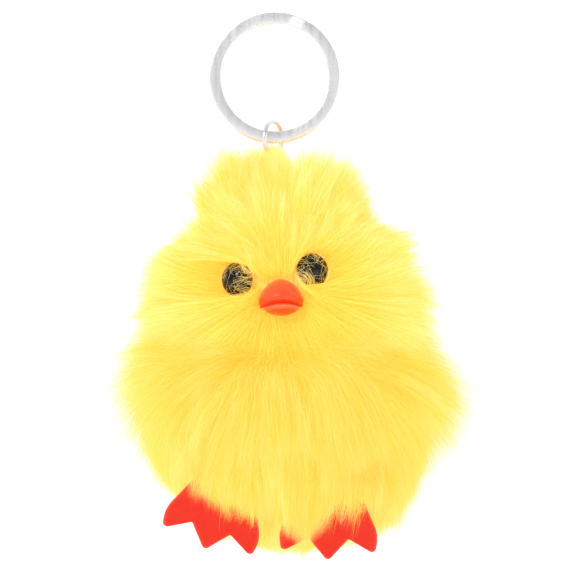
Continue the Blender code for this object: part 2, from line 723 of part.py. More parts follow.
def main():
    """Build the pieces from the key ring down to the feet."""
    clear_scene()
    make_collections()
    build_key_ring()
    link_pivot = add_empty("jump_ring_pivot", (LINK_X, 0, BAND_MID_Z))
    build_jump_ring(link_pivot)
    loop_pivot = add_empty("loop_pivot", (LINK_X, 0, LINK_LOW_Z), link_pivot)
    build_hang_loop(loop_pivot)
    head_pivot = add_empty("head_pivot", (LINK_X, 0, CROWN_Z), loop_pivot)
    build_head_cover(head_pivot)
    build_head_stuffing(head_pivot)
    for name, frame, _seat_r, _stem_r in face_places():
        if name == "beak":
            build_beak(frame, head_pivot)
        else:
            build_eye(name, frame, head_pivot)
    torso_pivot = add_empty("torso_pivot", (TORSO_X, 0, TORSO_TOP_Z), head_pivot)
    build_torso(torso_pivot)
    build_threads(head_pivot, torso_pivot)
    for side, sign in (("left", -1), ("right", 1)):
        spot = (TORSO_X + sign * FOOT_SPACING, FOOT_Y, TORSO_TOP_Z - FOOT_DROPS[side])
        pivot = add_empty(f"{side}_foot_pivot", spot, torso_pivot, (0.0, FOOT_TURNS[side], 0.0))
        build_foot(side, pivot)


main()
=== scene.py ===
"""Plush chick keychain: the looks of every piece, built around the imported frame.

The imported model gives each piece's place and size. The classes below build the metal ring and
links, the moulded face, the felt feet and the long-pile fur, dress them with procedural finishes
and tie each piece to the body that it moves with.
"""

from __future__ import annotations

import functools
import json
import logging
import math
from collections.abc import Callable, Sequence
from dataclasses import dataclass, field
from enum import Enum

import bmesh
import bpy
import numpy as np
from mathutils import Matrix, Vector


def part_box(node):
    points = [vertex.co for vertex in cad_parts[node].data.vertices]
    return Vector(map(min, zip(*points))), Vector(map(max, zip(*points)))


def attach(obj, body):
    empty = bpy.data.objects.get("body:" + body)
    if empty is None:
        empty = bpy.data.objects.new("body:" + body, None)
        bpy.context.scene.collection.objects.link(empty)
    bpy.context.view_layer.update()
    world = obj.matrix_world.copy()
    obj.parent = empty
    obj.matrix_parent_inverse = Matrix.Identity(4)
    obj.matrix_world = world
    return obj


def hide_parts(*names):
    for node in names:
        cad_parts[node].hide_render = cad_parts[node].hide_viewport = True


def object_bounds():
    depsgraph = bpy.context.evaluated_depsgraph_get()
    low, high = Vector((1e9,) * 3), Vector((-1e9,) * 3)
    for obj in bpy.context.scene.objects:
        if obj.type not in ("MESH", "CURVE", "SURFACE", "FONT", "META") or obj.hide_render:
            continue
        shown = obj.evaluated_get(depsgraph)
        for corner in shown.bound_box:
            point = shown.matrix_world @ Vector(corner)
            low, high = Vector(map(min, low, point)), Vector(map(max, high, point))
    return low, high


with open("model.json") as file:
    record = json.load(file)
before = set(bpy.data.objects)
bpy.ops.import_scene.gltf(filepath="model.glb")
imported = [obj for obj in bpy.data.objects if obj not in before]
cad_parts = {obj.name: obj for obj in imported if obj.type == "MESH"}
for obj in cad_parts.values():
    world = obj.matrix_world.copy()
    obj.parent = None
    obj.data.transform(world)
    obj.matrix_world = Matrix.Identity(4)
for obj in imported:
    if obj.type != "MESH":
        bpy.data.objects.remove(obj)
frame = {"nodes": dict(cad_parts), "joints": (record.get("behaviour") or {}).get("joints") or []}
CAD_BOX = [list(corner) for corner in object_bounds()]

LOG = logging.getLogger("plush_keychain")
Colour = tuple[float, float, float]
Tree = bpy.types.NodeTree
Socket = bpy.types.NodeSocket
MM = 0.001
UP = Vector((0, 0, 1))


# --- Shader building --------------------------------------------------------------------------


class Shader:
    """One material under construction around its Principled BSDF."""

    def __init__(self, name: str) -> None:
        """Start an empty Principled material.

        Args:
            name: The finish's name.
        """
        self.material = bpy.data.materials.new(name)
        self.material.use_nodes = True
        self.tree = self.material.node_tree
        self.bsdf = self.tree.nodes["Principled BSDF"]

    def fix(self, **values: float | Colour) -> None:
        """Set constant sockets on the Principled BSDF, with _ for a space in their names.

        Args:
            values: Each value, by its socket's name.
        """
        for name, value in values.items():
            socket = self.bsdf.inputs[name.replace("_", " ")]
            is_colour = isinstance(value, tuple) and len(value) == 3
            socket.default_value = (*value, 1.0) if is_colour else value

    def attribute(self, name: str) -> Socket:
        """A number that the mesh stores at each vertex."""
        node = add_node(self.tree, "ShaderNodeAttribute", attribute_name=name)
        return node.outputs["Fac"]

    def use(self, group: Tree, **inputs: object) -> bpy.types.Node:
        """Place a shared node group with its own values, by the names of its inputs.

        Args:
            group: The shared group.
            inputs: Values or output sockets, by input name.

        Returns:
            The placed node.
        """
        node = self.tree.nodes.new("ShaderNodeGroup")
        node.node_tree = group
        feed(self.tree, node, inputs)
        return node

    def drive(self, socket: str, source: Socket) -> None:
        """Link a varying source to one of the Principled BSDF's sockets."""
        self.tree.links.new(source, self.bsdf.inputs[socket])

    def bump(self, height: Socket, strength: float, distance: float) -> None:
        """Give the surface fine relief.

        Args:
            height: The relief's height.
            strength: How strongly it bends the light, 0 to 1.
            distance: Its real depth in metres.
        """
        inputs = {"Strength": strength, "Distance": distance, "Height": height}
        node = add_node(self.tree, "ShaderNodeBump", inputs)
        self.drive("Normal", node.outputs["Normal"])


def feed(tree: Tree, node: bpy.types.Node, inputs: dict | None) -> None:
    """Set a node's inputs from values, or link them where an output socket is given.

    Args:
        tree: The node tree.
        node: The node.
        inputs: Values or output sockets, by input name or number.
    """
    for name, value in (inputs or {}).items():
        socket = node.inputs[name]
        if isinstance(value, Socket):
            tree.links.new(value, socket)
        elif socket.type == "RGBA" and len(value) == 3:
            socket.default_value = (*value, 1.0)
        else:
            socket.default_value = value


def add_node(
    tree: Tree, kind: str, inputs: dict | None = None, **options: object
) -> bpy.types.Node:
    """Add one node to a tree, with its properties and inputs.

    Args:
        tree: The node tree.
        kind: The node's type name.
        inputs: Values or output sockets, by input name or number.
        options: Properties of the node itself.

    Returns:
        The new node.
    """
    node = tree.nodes.new(kind)
    for name, value in options.items():
        setattr(node, name, value)
    feed(tree, node, inputs)
    return node


def work_out(tree: Tree, operation: str, one: object, two: object, clamp: bool = False) -> Socket:
    """One step of arithmetic on two values."""
    node = add_node(tree, "ShaderNodeMath", {0: one, 1: two}, operation=operation, use_clamp=clamp)
    return node.outputs["Value"]


def spread_out(
    tree: Tree,
    value: Socket,
    source: tuple[float, float] = (0.0, 1.0),
    target: tuple[object, object] = (0.0, 1.0),
    **options: object,
) -> Socket:
    """Map one range of a value to another, held at its ends.

    Args:
        tree: The node tree.
        value: The value to map.
        source: The range that it comes in.
        target: The range that it goes out in.
        options: Properties of the node itself.

    Returns:
        The mapped value.
    """
    inputs = {
        "Value": value,
        "From Min": source[0],
        "From Max": source[1],
        "To Min": target[0],
        "To Max": target[1],
    }
    return add_node(tree, "ShaderNodeMapRange", inputs, **options).outputs["Result"]


def mix_colours(tree: Tree, share: object, main: object, other: object) -> Socket:
    """Turn one colour to another by a share, 0 to 1."""
    node = add_node(tree, "ShaderNodeMix", {0: share, 6: main, 7: other}, data_type="RGBA")
    return node.outputs[2]


def place_on_piece(tree: Tree, factor: object = (1.0, 1.0, 1.0)) -> Socket:
    """The piece's own coordinates, drawn out by a factor for each axis.

    Args:
        tree: The node tree.
        factor: How much each axis is drawn out.

    Returns:
        The coordinates.
    """
    place = add_node(tree, "ShaderNodeTexCoord")
    inputs = {0: place.outputs["Object"], 1: factor}
    return add_node(tree, "ShaderNodeVectorMath", inputs, operation="MULTIPLY").outputs["Vector"]


def noise(tree: Tree, place: Socket, scale: object, detail: object) -> Socket:
    """Smooth noise over a place."""
    inputs = {"Vector": place, "Scale": scale, "Detail": detail}
    return add_node(tree, "ShaderNodeTexNoise", inputs).outputs["Fac"]


def start_group(
    name: str, inputs: dict[str, tuple[str, object]], outputs: dict[str, str]
) -> tuple[Tree, dict[str, Socket], bpy.types.Node]:
    """Start a shared node group with named sockets.

    Args:
        name: The group's name.
        inputs: Socket kind and default value, by input name.
        outputs: Socket kind, by output name.

    Returns:
        The group, its inputs' values by name, and its output node.
    """
    tree = bpy.data.node_groups.new(name, "ShaderNodeTree")
    for label, (kind, default) in inputs.items():
        socket = tree.interface.new_socket(label, in_out="INPUT", socket_type=f"NodeSocket{kind}")
        socket.default_value = default
    for label, kind in outputs.items():
        tree.interface.new_socket(label, in_out="OUTPUT", socket_type=f"NodeSocket{kind}")
    given = tree.nodes.new("NodeGroupInput").outputs
    return tree, {label: given[label] for label in inputs}, tree.nodes.new("NodeGroupOutput")


def grain_group() -> Tree:
    """Build fine grain that may be drawn out along one way, as brushing and moulding leave it.

    Returns:
        The group.
    """
    tree, given, result = start_group(
        "fine_grain",
        {
            "Scale": ("Float", 800.0),
            "Stretch": ("Vector", (1.0, 1.0, 1.0)),
            "Detail": ("Float", 3.0),
            "Low": ("Float", 0.2),
            "High": ("Float", 0.4),
        },
        {"Value": "Float", "Height": "Float"},
    )
    grain = noise(tree, place_on_piece(tree, given["Stretch"]), given["Scale"], given["Detail"])
    value = spread_out(tree, grain, (0.3, 0.7), (given["Low"], given["High"]))
    feed(tree, result, {"Value": value, "Height": grain})
    return tree


def wear_group() -> Tree:
    """Build a mask of edges that hands and other keys have rubbed.

    Returns:
        The group.
    """
    tree, given, result = start_group(
        "edge_wear",
        {"Scale": ("Float", 600.0), "Amount": ("Float", 0.5)},
        {"Mask": "Float"},
    )
    geometry = add_node(tree, "ShaderNodeNewGeometry")
    edge = spread_out(tree, geometry.outputs["Pointiness"], (0.505, 0.56))
    patches = noise(tree, place_on_piece(tree), given["Scale"], 4.0)
    patchy = work_out(tree, "MULTIPLY", edge, patches)
    mask = work_out(tree, "MULTIPLY", patchy, given["Amount"], clamp=True)
    feed(tree, result, {"Mask": mask})
    return tree


def mottle_group() -> Tree:
    """Build two colours that drift into each other, with a second share from a mask.

    Returns:
        The group.
    """
    tree, given, result = start_group(
        "mottled_colour",
        {
            "Main": ("Color", (0.5, 0.5, 0.5, 1.0)),
            "Other": ("Color", (0.5, 0.5, 0.5, 1.0)),
            "Scale": ("Float", 120.0),
            "Share": ("Float", 0.5),
            "Mask": ("Float", 0.0),
        },
        {"Color": "Color"},
    )
    patches = noise(tree, place_on_piece(tree), given["Scale"], 3.0)
    drifted = spread_out(tree, patches, (0.35, 0.65), (0.0, given["Share"]))
    both = work_out(tree, "ADD", drifted, given["Mask"], clamp=True)
    feed(tree, result, {"Color": mix_colours(tree, both, given["Main"], given["Other"])})
    return tree


def ply_group() -> Tree:
    """Build slanting plies of twisted yarn, or the ribs of a knit, as a height and a painted shade that is
    darker in the grooves.

    Returns:
        The group.
    """
    tree, given, result = start_group(
        "yarn_ply",
        {"Scale": ("Float", 900.0), "Slant": ("Vector", (1.0, 1.0, 1.0)), "Fuzz": ("Float", 2.0)},
        {"Height": "Float", "Shade": "Float"},
    )
    wave = add_node(
        tree,
        "ShaderNodeTexWave",
        {
            "Vector": place_on_piece(tree, given["Slant"]),
            "Scale": given["Scale"],
            "Distortion": given["Fuzz"],
            "Detail": 2.0,
        },
        bands_direction="DIAGONAL",
    ).outputs["Fac"]
    # Painted shade: darker where the wave dips into a groove.
    shade = spread_out(tree, wave, target=(0.65, 1.0))
    feed(tree, result, {"Height": wave, "Shade": shade})
    return tree


class Shared:
    """The node groups that more than one finish uses, each built once."""

    grain: Tree
    wear: Tree
    mottle: Tree
    ply: Tree

    @classmethod
    def build(cls) -> None:
        """Make every shared group."""
        cls.grain = grain_group()
        cls.wear = wear_group()
        cls.mottle = mottle_group()
        cls.ply = ply_group()


# --- Finishes ---------------------------------------------------------------------------------


class Part(Enum):
    """The record's material slots, one for each kind of built piece."""

    STEEL = "steel"
    WIRE = "wire"
    CORD = "cord"
    FUR = "fur"
    STUFFING = "stuffing"
    EYE = "eye"
    BEAK = "beak"
    FOOT = "foot"


@dataclass(frozen=True)
class Finish:
    """A named finish; each kind of finish builds its own material."""

    name: str

    def material(self) -> bpy.types.Material:
        """Build the finish's material."""
        raise NotImplementedError


@functools.cache
def dressed(finish: Finish) -> bpy.types.Material:
    """The one material that every piece with this finish wears."""
    return finish.material()


@dataclass(frozen=True)
class Metal(Finish):
    """Bright steel, brushed or drawn, with rubbed edges."""

    colour: Colour
    dull: Colour
    roughness: tuple[float, float]
    stretch: tuple[float, float, float]
    scale: float
    depth: float
    rubbed: Colour = (0.80, 0.80, 0.81)

    def material(self) -> bpy.types.Material:
        """Build the metal.

        Returns:
            The material.
        """
        shader = Shader(self.name)
        shader.fix(Metallic=0.88, Specular_IOR_Level=0.5)
        low, high = self.roughness
        grain = shader.use(
            Shared.grain, Scale=self.scale, Stretch=self.stretch, Detail=4.0, Low=low, High=high
        )
        wear = shader.use(Shared.wear, Scale=900.0, Amount=0.9)
        streaks = shader.use(
            Shared.grain,
            Scale=self.scale * 0.35,
            Stretch=self.stretch,
            Detail=5.0,
            Low=-0.3,
            High=0.3,
        )
        colour = shader.use(
            Shared.mottle,
            Main=self.colour,
            Other=self.dull,
            Scale=45.0,
            Share=0.5,
            Mask=streaks.outputs["Value"],
        )
        worn = mix_colours(
            shader.tree, wear.outputs["Mask"], colour.outputs["Color"], self.rubbed
        )
        shader.drive("Base Color", worn)
        shader.drive("Roughness", grain.outputs["Value"])
        shader.bump(grain.outputs["Height"], 0.35, self.depth)
        return shader.material


@dataclass(frozen=True)
class Yarn(Finish):
    """Twisted polyester yarn: the cord, the drawn threads and the stitches, with painted shade in the
    grooves between the plies.
    """

    colour: Colour
    # colour of the painted shade in the grooves, and of the random mottle
    shade: Colour
    scale: float
    depth: float

    def material(self) -> bpy.types.Material:
        """Build the yarn.

        Returns:
            The material.
        """
        shader = Shader(self.name)
        shader.fix(Roughness=0.8, Sheen_Weight=0.4, Sheen_Roughness=0.4)
        ply = shader.use(Shared.ply, Scale=self.scale, Slant=(1.0, 1.0, 1.0), Fuzz=1.5)
        fuzz = shader.use(
            Shared.grain, Scale=4000.0, Stretch=(1.0, 1.0, 0.3), Detail=4.0, Low=0.65, High=0.95
        )
        # Painted shade in the grooves between the plies, over random mottle.
        inverse = work_out(shader.tree, "SUBTRACT", 1.0, ply.outputs["Shade"])
        colour = shader.use(
            Shared.mottle,
            Main=self.colour,
            Other=self.shade,
            Scale=600.0,
            Share=0.35,
            Mask=inverse,
        )
        shader.drive("Base Color", colour.outputs["Color"])
        shader.drive("Roughness", fuzz.outputs["Value"])
        shader.bump(ply.outputs["Height"], 0.7, self.depth)
        return shader.material


@dataclass(frozen=True)
class Cloth(Finish):
    """Knitted backing cloth, with ribs and matted fibres, painted shade between the ribs and a glow of
    painted light.
    """

    colour: Colour
    shade: Colour
    rib_scale: float
    # strength of the glow of painted light
    glow: float

    def material(self) -> bpy.types.Material:
        """Build the cloth.

        Returns:
            The material.
        """
        shader = Shader(self.name)
        shader.fix(Sheen_Weight=0.3, Sheen_Roughness=0.5, Emission_Strength=self.glow)
        ribs = shader.use(Shared.ply, Scale=self.rib_scale, Slant=(1.0, 1.0, 0.0), Fuzz=4.0)
        matted = shader.use(Shared.grain, Scale=900.0, Detail=6.0, Low=0.75, High=1.0)
        # Painted shade between the ribs, over random mottle.
        gap = work_out(shader.tree, "SUBTRACT", 1.0, ribs.outputs["Shade"])
        colour = shader.use(
            Shared.mottle,
            Main=self.colour,
            Other=self.shade,
            Scale=150.0,
            Share=0.6,
            Mask=gap,
        )
        shader.drive("Base Color", colour.outputs["Color"])
        # Painted light: the cloth glows in its own colour.
        shader.drive("Emission Color", colour.outputs["Color"])
        shader.drive("Roughness", matted.outputs["Value"])
        shader.bump(ribs.outputs["Height"], 0.6, 0.0004)
        return shader.material


@dataclass(frozen=True)
class Moulding(Finish):
    """Moulded plastic, glossy or dull, with flow marks and fine scratches, and where asked painted shade,
    a painted highlight and a glow of painted light.
    """

    colour: Colour
    shade: Colour
    roughness: tuple[float, float]
    # strength of the glow of painted light
    glow: float = 0.0
    shine: float = 0.5
    # attribute of painted shade; the one with _rim after its name holds a painted highlight
    depth_mark: str = ""
    # colour of the painted highlight
    rim: Colour = (1.0, 1.0, 1.0)

    def material(self) -> bpy.types.Material:
        """Build the plastic. Where a shade mark is named, its share turns to painted shade, and the share
        of its _rim attribute turns to a painted highlight.

        Returns:
            The material.
        """
        shader = Shader(self.name)
        shader.fix(Specular_IOR_Level=self.shine)
        low, high = self.roughness
        scratches = shader.use(
            Shared.grain, Scale=1500.0, Stretch=(1.0, 0.25, 1.0), Detail=6.0, Low=low, High=high
        )
        inputs = {"Main": self.colour, "Other": self.shade, "Scale": 260.0, "Share": 0.12}
        # Painted shade where the mark says.
        if self.depth_mark:
            inputs["Mask"] = shader.attribute(self.depth_mark)
        colour = shader.use(Shared.mottle, **inputs).outputs["Color"]
        # Painted highlight where the _rim attribute says.
        if self.depth_mark:
            edge = shader.attribute(f"{self.depth_mark}_rim")
            colour = mix_colours(shader.tree, edge, colour, self.rim)
        shader.drive("Base Color", colour)
        shader.drive("Roughness", scratches.outputs["Value"])
        # Painted light: the plastic glows in its own colour.
        if self.glow:
            shader.fix(Emission_Strength=self.glow)
            shader.drive("Emission Color", colour)
        shader.bump(scratches.outputs["Height"], 0.15, 0.00003)
        return shader.material


@dataclass(frozen=True)
class Felt(Finish):
    """Thin pressed felt: matted fibres, a painted highlight that makes it paler where the cut edge catches
    light, and a glow of painted light.
    """

    colour: Colour
    deep: Colour
    # colour of the painted highlight on the cut edge
    edge: Colour
    # strength of the glow of painted light
    glow: float

    def material(self) -> bpy.types.Material:
        """Build the felt.

        Returns:
            The material.
        """
        shader = Shader(self.name)
        shader.fix(Sheen_Weight=0.05, Specular_IOR_Level=0.2, Emission_Strength=self.glow)
        fibres = shader.use(
            Shared.grain, Scale=1400.0, Stretch=(1.0, 1.0, 0.4), Detail=8.0, Low=0.55, High=0.85
        )
        colour = shader.use(
            Shared.mottle, Main=self.colour, Other=self.deep, Scale=420.0, Share=0.35
        )
        # Painted highlight along the cut edge.
        cut_edge = shader.attribute("cut_edge")
        pale = mix_colours(shader.tree, cut_edge, colour.outputs["Color"], self.edge)
        shader.drive("Base Color", pale)
        # Painted light: the felt glows in its own colour.
        shader.drive("Emission Color", pale)
        shader.drive("Roughness", fibres.outputs["Value"])
        shader.bump(fibres.outputs["Height"], 0.5, 0.00012)
        return shader.material


@dataclass(frozen=True)
class Pile(Finish):
    """Long polyester pile, lemon along the fibre, with painted shade that turns it deep gold at the root,
    a painted highlight that turns it pale at the tip, and a glow of painted light.
    """

    # root: painted shade deep in the pile; tip: painted highlight; gold: random tone, and painted shade
    # round the beak
    root: Colour
    middle: Colour
    tip: Colour
    gold: Colour
    # strength of the glow of painted light
    glow: float

    def material(self) -> bpy.types.Material:
        """Build the fibres' finish from their run from root to tip and their own tint.

        Returns:
            The material.
        """
        shader = Shader(self.name)
        shader.fix(
            Sheen_Weight=0.25,
            Sheen_Roughness=0.45,
            Sheen_Tint=self.tip,
            Specular_IOR_Level=0.35,
            Emission_Strength=self.glow,
        )
        # Painted shade towards the root and a painted highlight towards the tip.
        run = shader.attribute("fibre_run")
        ramp = add_node(shader.tree, "ShaderNodeValToRGB", {"Fac": run})
        stops = ramp.color_ramp.elements
        stops[0].color = (*self.root, 1.0)
        stops[1].color = (*self.tip, 1.0)
        stops.new(0.5).color = (*self.middle, 1.0)
        # Gold by each fibre's tint: random tone, and painted shade round the beak.
        tint = shader.attribute("fibre_tint")
        golden = mix_colours(shader.tree, tint, ramp.outputs["Color"], self.gold)
        shader.drive("Base Color", golden)
        # Painted light: the fibres glow in their own colour.
        shader.drive("Emission Color", golden)
        shader.drive("Roughness", spread_out(shader.tree, run, target=(0.75, 0.5)))
        return shader.material


STEEL = Metal(
    name="brushed_steel",
    colour=(0.84, 0.845, 0.855),
    dull=(0.73, 0.74, 0.765),
    roughness=(0.24, 0.44),
    stretch=(1.0, 1.0, 0.02),
    scale=900.0,
    depth=2e-5,
)
WIRE = Metal(
    name="drawn_wire",
    colour=(0.80, 0.82, 0.85),
    dull=(0.50, 0.52, 0.56),
    roughness=(0.30, 0.44),
    stretch=(1.0, 1.0, 1.0),
    scale=1200.0,
    depth=1e-5,
)
CORD = Yarn(
    name="cord_yarn", colour=(0.95, 0.78, 0.22), shade=(0.80, 0.52, 0.08), scale=700.0, depth=0.00015
)
THREAD = Yarn(
    name="sewing_thread",
    colour=(0.95, 0.76, 0.20),
    shade=(0.78, 0.50, 0.08),
    scale=1600.0,
    depth=0.00008,
)
STITCHING = Yarn(
    name="foot_thread",
    colour=(0.85, 0.10, 0.05),
    shade=(0.60, 0.05, 0.02),
    scale=1600.0,
    depth=0.00008,
)
# Painted shade between the ribs and a glow of painted light.
BACKING = Cloth(
    name="knit_backing", colour=(1.0, 0.68, 0.12), shade=(0.98, 0.62, 0.10), rib_scale=500.0, glow=0.30
)
EYE = Moulding(
    name="eye_black",
    colour=(0.004, 0.004, 0.004),
    shade=(0.012, 0.008, 0.006),
    roughness=(0.06, 0.14),
    shine=0.28,
)
WASHER = Moulding(
    name="washer_plastic",
    colour=(0.85, 0.85, 0.82),
    shade=(0.75, 0.75, 0.71),
    roughness=(0.40, 0.55),
)
# Painted shade in the mouth's crease, a painted highlight on the lip and the bill's edge, and a glow of
# painted light.
BEAK = Moulding(
    name="beak_vinyl",
    colour=(1.0, 0.090, 0.014),
    shade=(0.90, 0.022, 0.005),
    roughness=(0.26, 0.40),
    glow=0.12,
    shine=0.38,
    depth_mark="crease",
    rim=(1.0, 0.24, 0.10),
)
# A painted highlight on the cut edge and a glow of painted light.
FELT = Felt(
    name="foot_felt",
    colour=(0.72, 0.030, 0.013),
    deep=(0.65, 0.022, 0.009),
    edge=(0.85, 0.085, 0.05),
    glow=0.14,
)
# Painted shade at the root, a painted highlight at the tip and a glow of painted light.
PILE = Pile(
    name="long_pile",
    root=(1.0, 0.73, 0.125),
    middle=(1.0, 0.780, 0.185),
    tip=(1.0, 0.86, 0.46),
    gold=(1.0, 0.63, 0.073),
    glow=0.30,
)


# --- Mesh helpers -----------------------------------------------------------------------------


def new_piece(name: str, mesh: bpy.types.Mesh, finish: bpy.types.Material) -> bpy.types.Object:
    """Link a mesh as a smooth piece with one finish.

    Args:
        name: The piece's name.
        mesh: Its mesh.
        finish: Its material.

    Returns:
        The piece.
    """
    piece = bpy.data.objects.new(name, mesh)
    bpy.context.scene.collection.objects.link(piece)
    mesh.materials.append(finish)
    mesh.shade_smooth()
    return piece


def settle(piece: bpy.types.Object, body: str, part: Part, *nodes: str) -> None:
    """Tie a piece to its body, in place of the CAD nodes that it stands for.

    Args:
        piece: The piece.
        body: The body that it moves with.
        part: Its material slot; not used.
        nodes: The CAD nodes that it stands for.
    """
    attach(piece, body)
    if nodes:
        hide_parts(*nodes)


def repaint(node: str, finish: bpy.types.Material) -> None:
    """Give a CAD node that keeps its shape a finished material.

    Args:
        node: The CAD node's name.
        finish: Its new material.
    """
    mesh = frame["nodes"][node].data
    mesh.materials.clear()
    mesh.materials.append(finish)


def middle_of(node: str) -> Vector:
    """The middle of a CAD node's box."""
    low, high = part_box(node)
    return (Vector(low) + Vector(high)) / 2


def joint(name: str) -> tuple[Vector, Vector]:
    """A joint's place and unit axis at rest."""
    found = next(item for item in frame["joints"] if item["name"] == name)
    return Vector(found["pos_m"]), Vector(found["axis"]).normalized()


def mark(mesh: bpy.types.Mesh, name: str, values: Sequence[float] | np.ndarray) -> None:
    """Store one number at each vertex for a finish to read."""
    attribute = mesh.attributes.new(name, "FLOAT", "POINT")
    attribute.data.foreach_set("value", np.asarray(values, dtype=np.float32))


def smooth_step(share: float) -> float:
    """Ease from 0 to 1."""
    share = min(max(share, 0.0), 1.0)
    return share * share * (3 - 2 * share)


def sweep(
    name: str,
    spots: list[Vector],
    sides: list[tuple[Vector, Vector]],
    section: Callable[[float], list[tuple[float, float]]],
    closed: bool = False,
) -> bpy.types.Mesh:
    """Carry a closed section along a path.

    Args:
        name: The mesh's name.
        spots: The path's points.
        sides: The section's two unit axes at each point.
        section: Gives the section's corners at a share of the path, 0 to 1.
        closed: True where the path's end meets its start.

    Returns:
        The tube, with flat ends where the path is open.
    """
    mesh = bpy.data.meshes.new(name)
    shape = bmesh.new()
    rings = []
    for i, (spot, (across, over)) in enumerate(zip(spots, sides)):
        corners = section(i / (len(spots) - 1))
        rings.append([shape.verts.new(spot + across * x + over * y) for x, y in corners])
    pairs = list(zip(rings, rings[1:]))
    if closed:
        pairs.append((rings[-1], rings[0]))
    for one, two in pairs:
        for j in range(len(one)):
            k = (j + 1) % len(one)
            shape.faces.new((one[j], one[k], two[k], two[j]))
    if not closed:
        shape.faces.new(rings[0][::-1])
        shape.faces.new(rings[-1])
    bmesh.ops.recalc_face_normals(shape, faces=shape.faces)
    shape.to_mesh(mesh)
    shape.free()
    return mesh


def rounded_rectangle(width: float, height: float, radius: float, steps: int) -> list[tuple[float, float]]:
    """Corners of a rectangle about the origin whose four corners are arcs.

    Args:
        width: Its whole width.
        height: Its whole height.
        radius: The arcs' radius.
        steps: Straight steps in each arc.

    Returns:
        The corners in order.
    """
    corners = []
    for i, (sx, sy) in enumerate(((1, 1), (-1, 1), (-1, -1), (1, -1))):
        for j in range(steps + 1):
            angle = math.pi / 2 * (i + j / steps)
            corners.append(
                (
                    sx * (width / 2 - radius) + radius * math.cos(angle),
                    sy * (height / 2 - radius) + radius * math.sin(angle),
                )
            )
    return corners


# --- Metal and cord ---------------------------------------------------------------------------


@dataclass
class KeyRing:
    """The flat split ring: two turns of one band with softened edges."""

    band_width: float = 0.0025
    layer: float = 0.0012
    play: float = 0.0001
    edge_radius: float = 0.00022
    front_end: float = math.radians(32.0)
    back_end: float = math.radians(10.0)
    end_play: float = math.radians(0.6)
    steps_per_turn: int = 120
    corner_steps: int = 4
    slack: tuple[float, float, float] = (-0.00010, 0.0, -0.00028)
    slack_over: float = math.radians(90)
    sharp: float = math.radians(50)

    def build(self) -> None:
        """Sweep the band round both turns; the back turn sits a little off the front one."""
        low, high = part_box("key_ring")
        centre = (Vector(low) + Vector(high)) / 2
        mean_r = (high[0] - low[0] - self.band_width) / 2
        start = self.front_end + self.end_play
        cross = 2 * math.pi + self.back_end + self.end_play
        crossed = 2 * math.pi + self.front_end - self.end_play
        end = 4 * math.pi + self.back_end - self.end_play
        steps = round(self.steps_per_turn * (end - start) / (2 * math.pi))
        offset = (self.layer + self.play) / 2
        spots, sides = [], []
        for i in range(steps + 1):
            clock = start + (end - start) * i / steps
            out = Vector((math.sin(clock), 0.0, math.cos(clock)))
            depth = -offset * (1 - 2 * smooth_step((clock - cross) / (crossed - cross)))
            behind = smooth_step((clock - cross) / self.slack_over)
            spots.append(
                centre + out * mean_r + Vector((0.0, depth, 0.0)) + Vector(self.slack) * behind
            )
            sides.append((out, Vector((0.0, 1.0, 0.0))))
        corners = rounded_rectangle(
            self.band_width, self.layer, self.edge_radius, self.corner_steps
        )
        mesh = sweep("key_ring_band", spots, sides, lambda _share: corners)
        piece = new_piece("key_ring_band", mesh, dressed(STEEL))
        mesh.set_sharp_from_angle(angle=self.sharp)
        settle(piece, "ring", Part.STEEL, "key_ring")


@dataclass
class JumpRing:
    """The small wire ring round the key ring's band."""

    wire_r: float = 0.00055
    cut: float = math.radians(4.0)
    cut_at: float = math.radians(160.0)
    steps: int = 96
    wire_sides: int = 20
    sharp: float = math.radians(50)

    def build(self) -> None:
        """Bend the wire round its circle and leave the cut between its ends."""
        low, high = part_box("jump_ring")
        centre = (Vector(low) + Vector(high)) / 2
        _spot, along = joint("loop_swing")
        mean_r = (high[2] - low[2]) / 2 - self.wire_r
        side = along.cross(UP)
        spots, sides = [], []
        for i in range(self.steps + 1):
            angle = self.cut_at + self.cut / 2 + (2 * math.pi - self.cut) * i / self.steps
            out = along * math.cos(angle) + UP * math.sin(angle)
            spots.append(centre + out * mean_r)
            sides.append((out, side))
        circle = [
            (self.wire_r * math.cos(a), self.wire_r * math.sin(a))
            for a in (2 * math.pi * i / self.wire_sides for i in range(self.wire_sides))
        ]
        mesh = sweep("jump_ring_wire", spots, sides, lambda _share: circle)
        piece = new_piece("jump_ring_wire", mesh, dressed(WIRE))
        mesh.set_sharp_from_angle(angle=self.sharp)
        settle(piece, "link", Part.WIRE, "jump_ring")


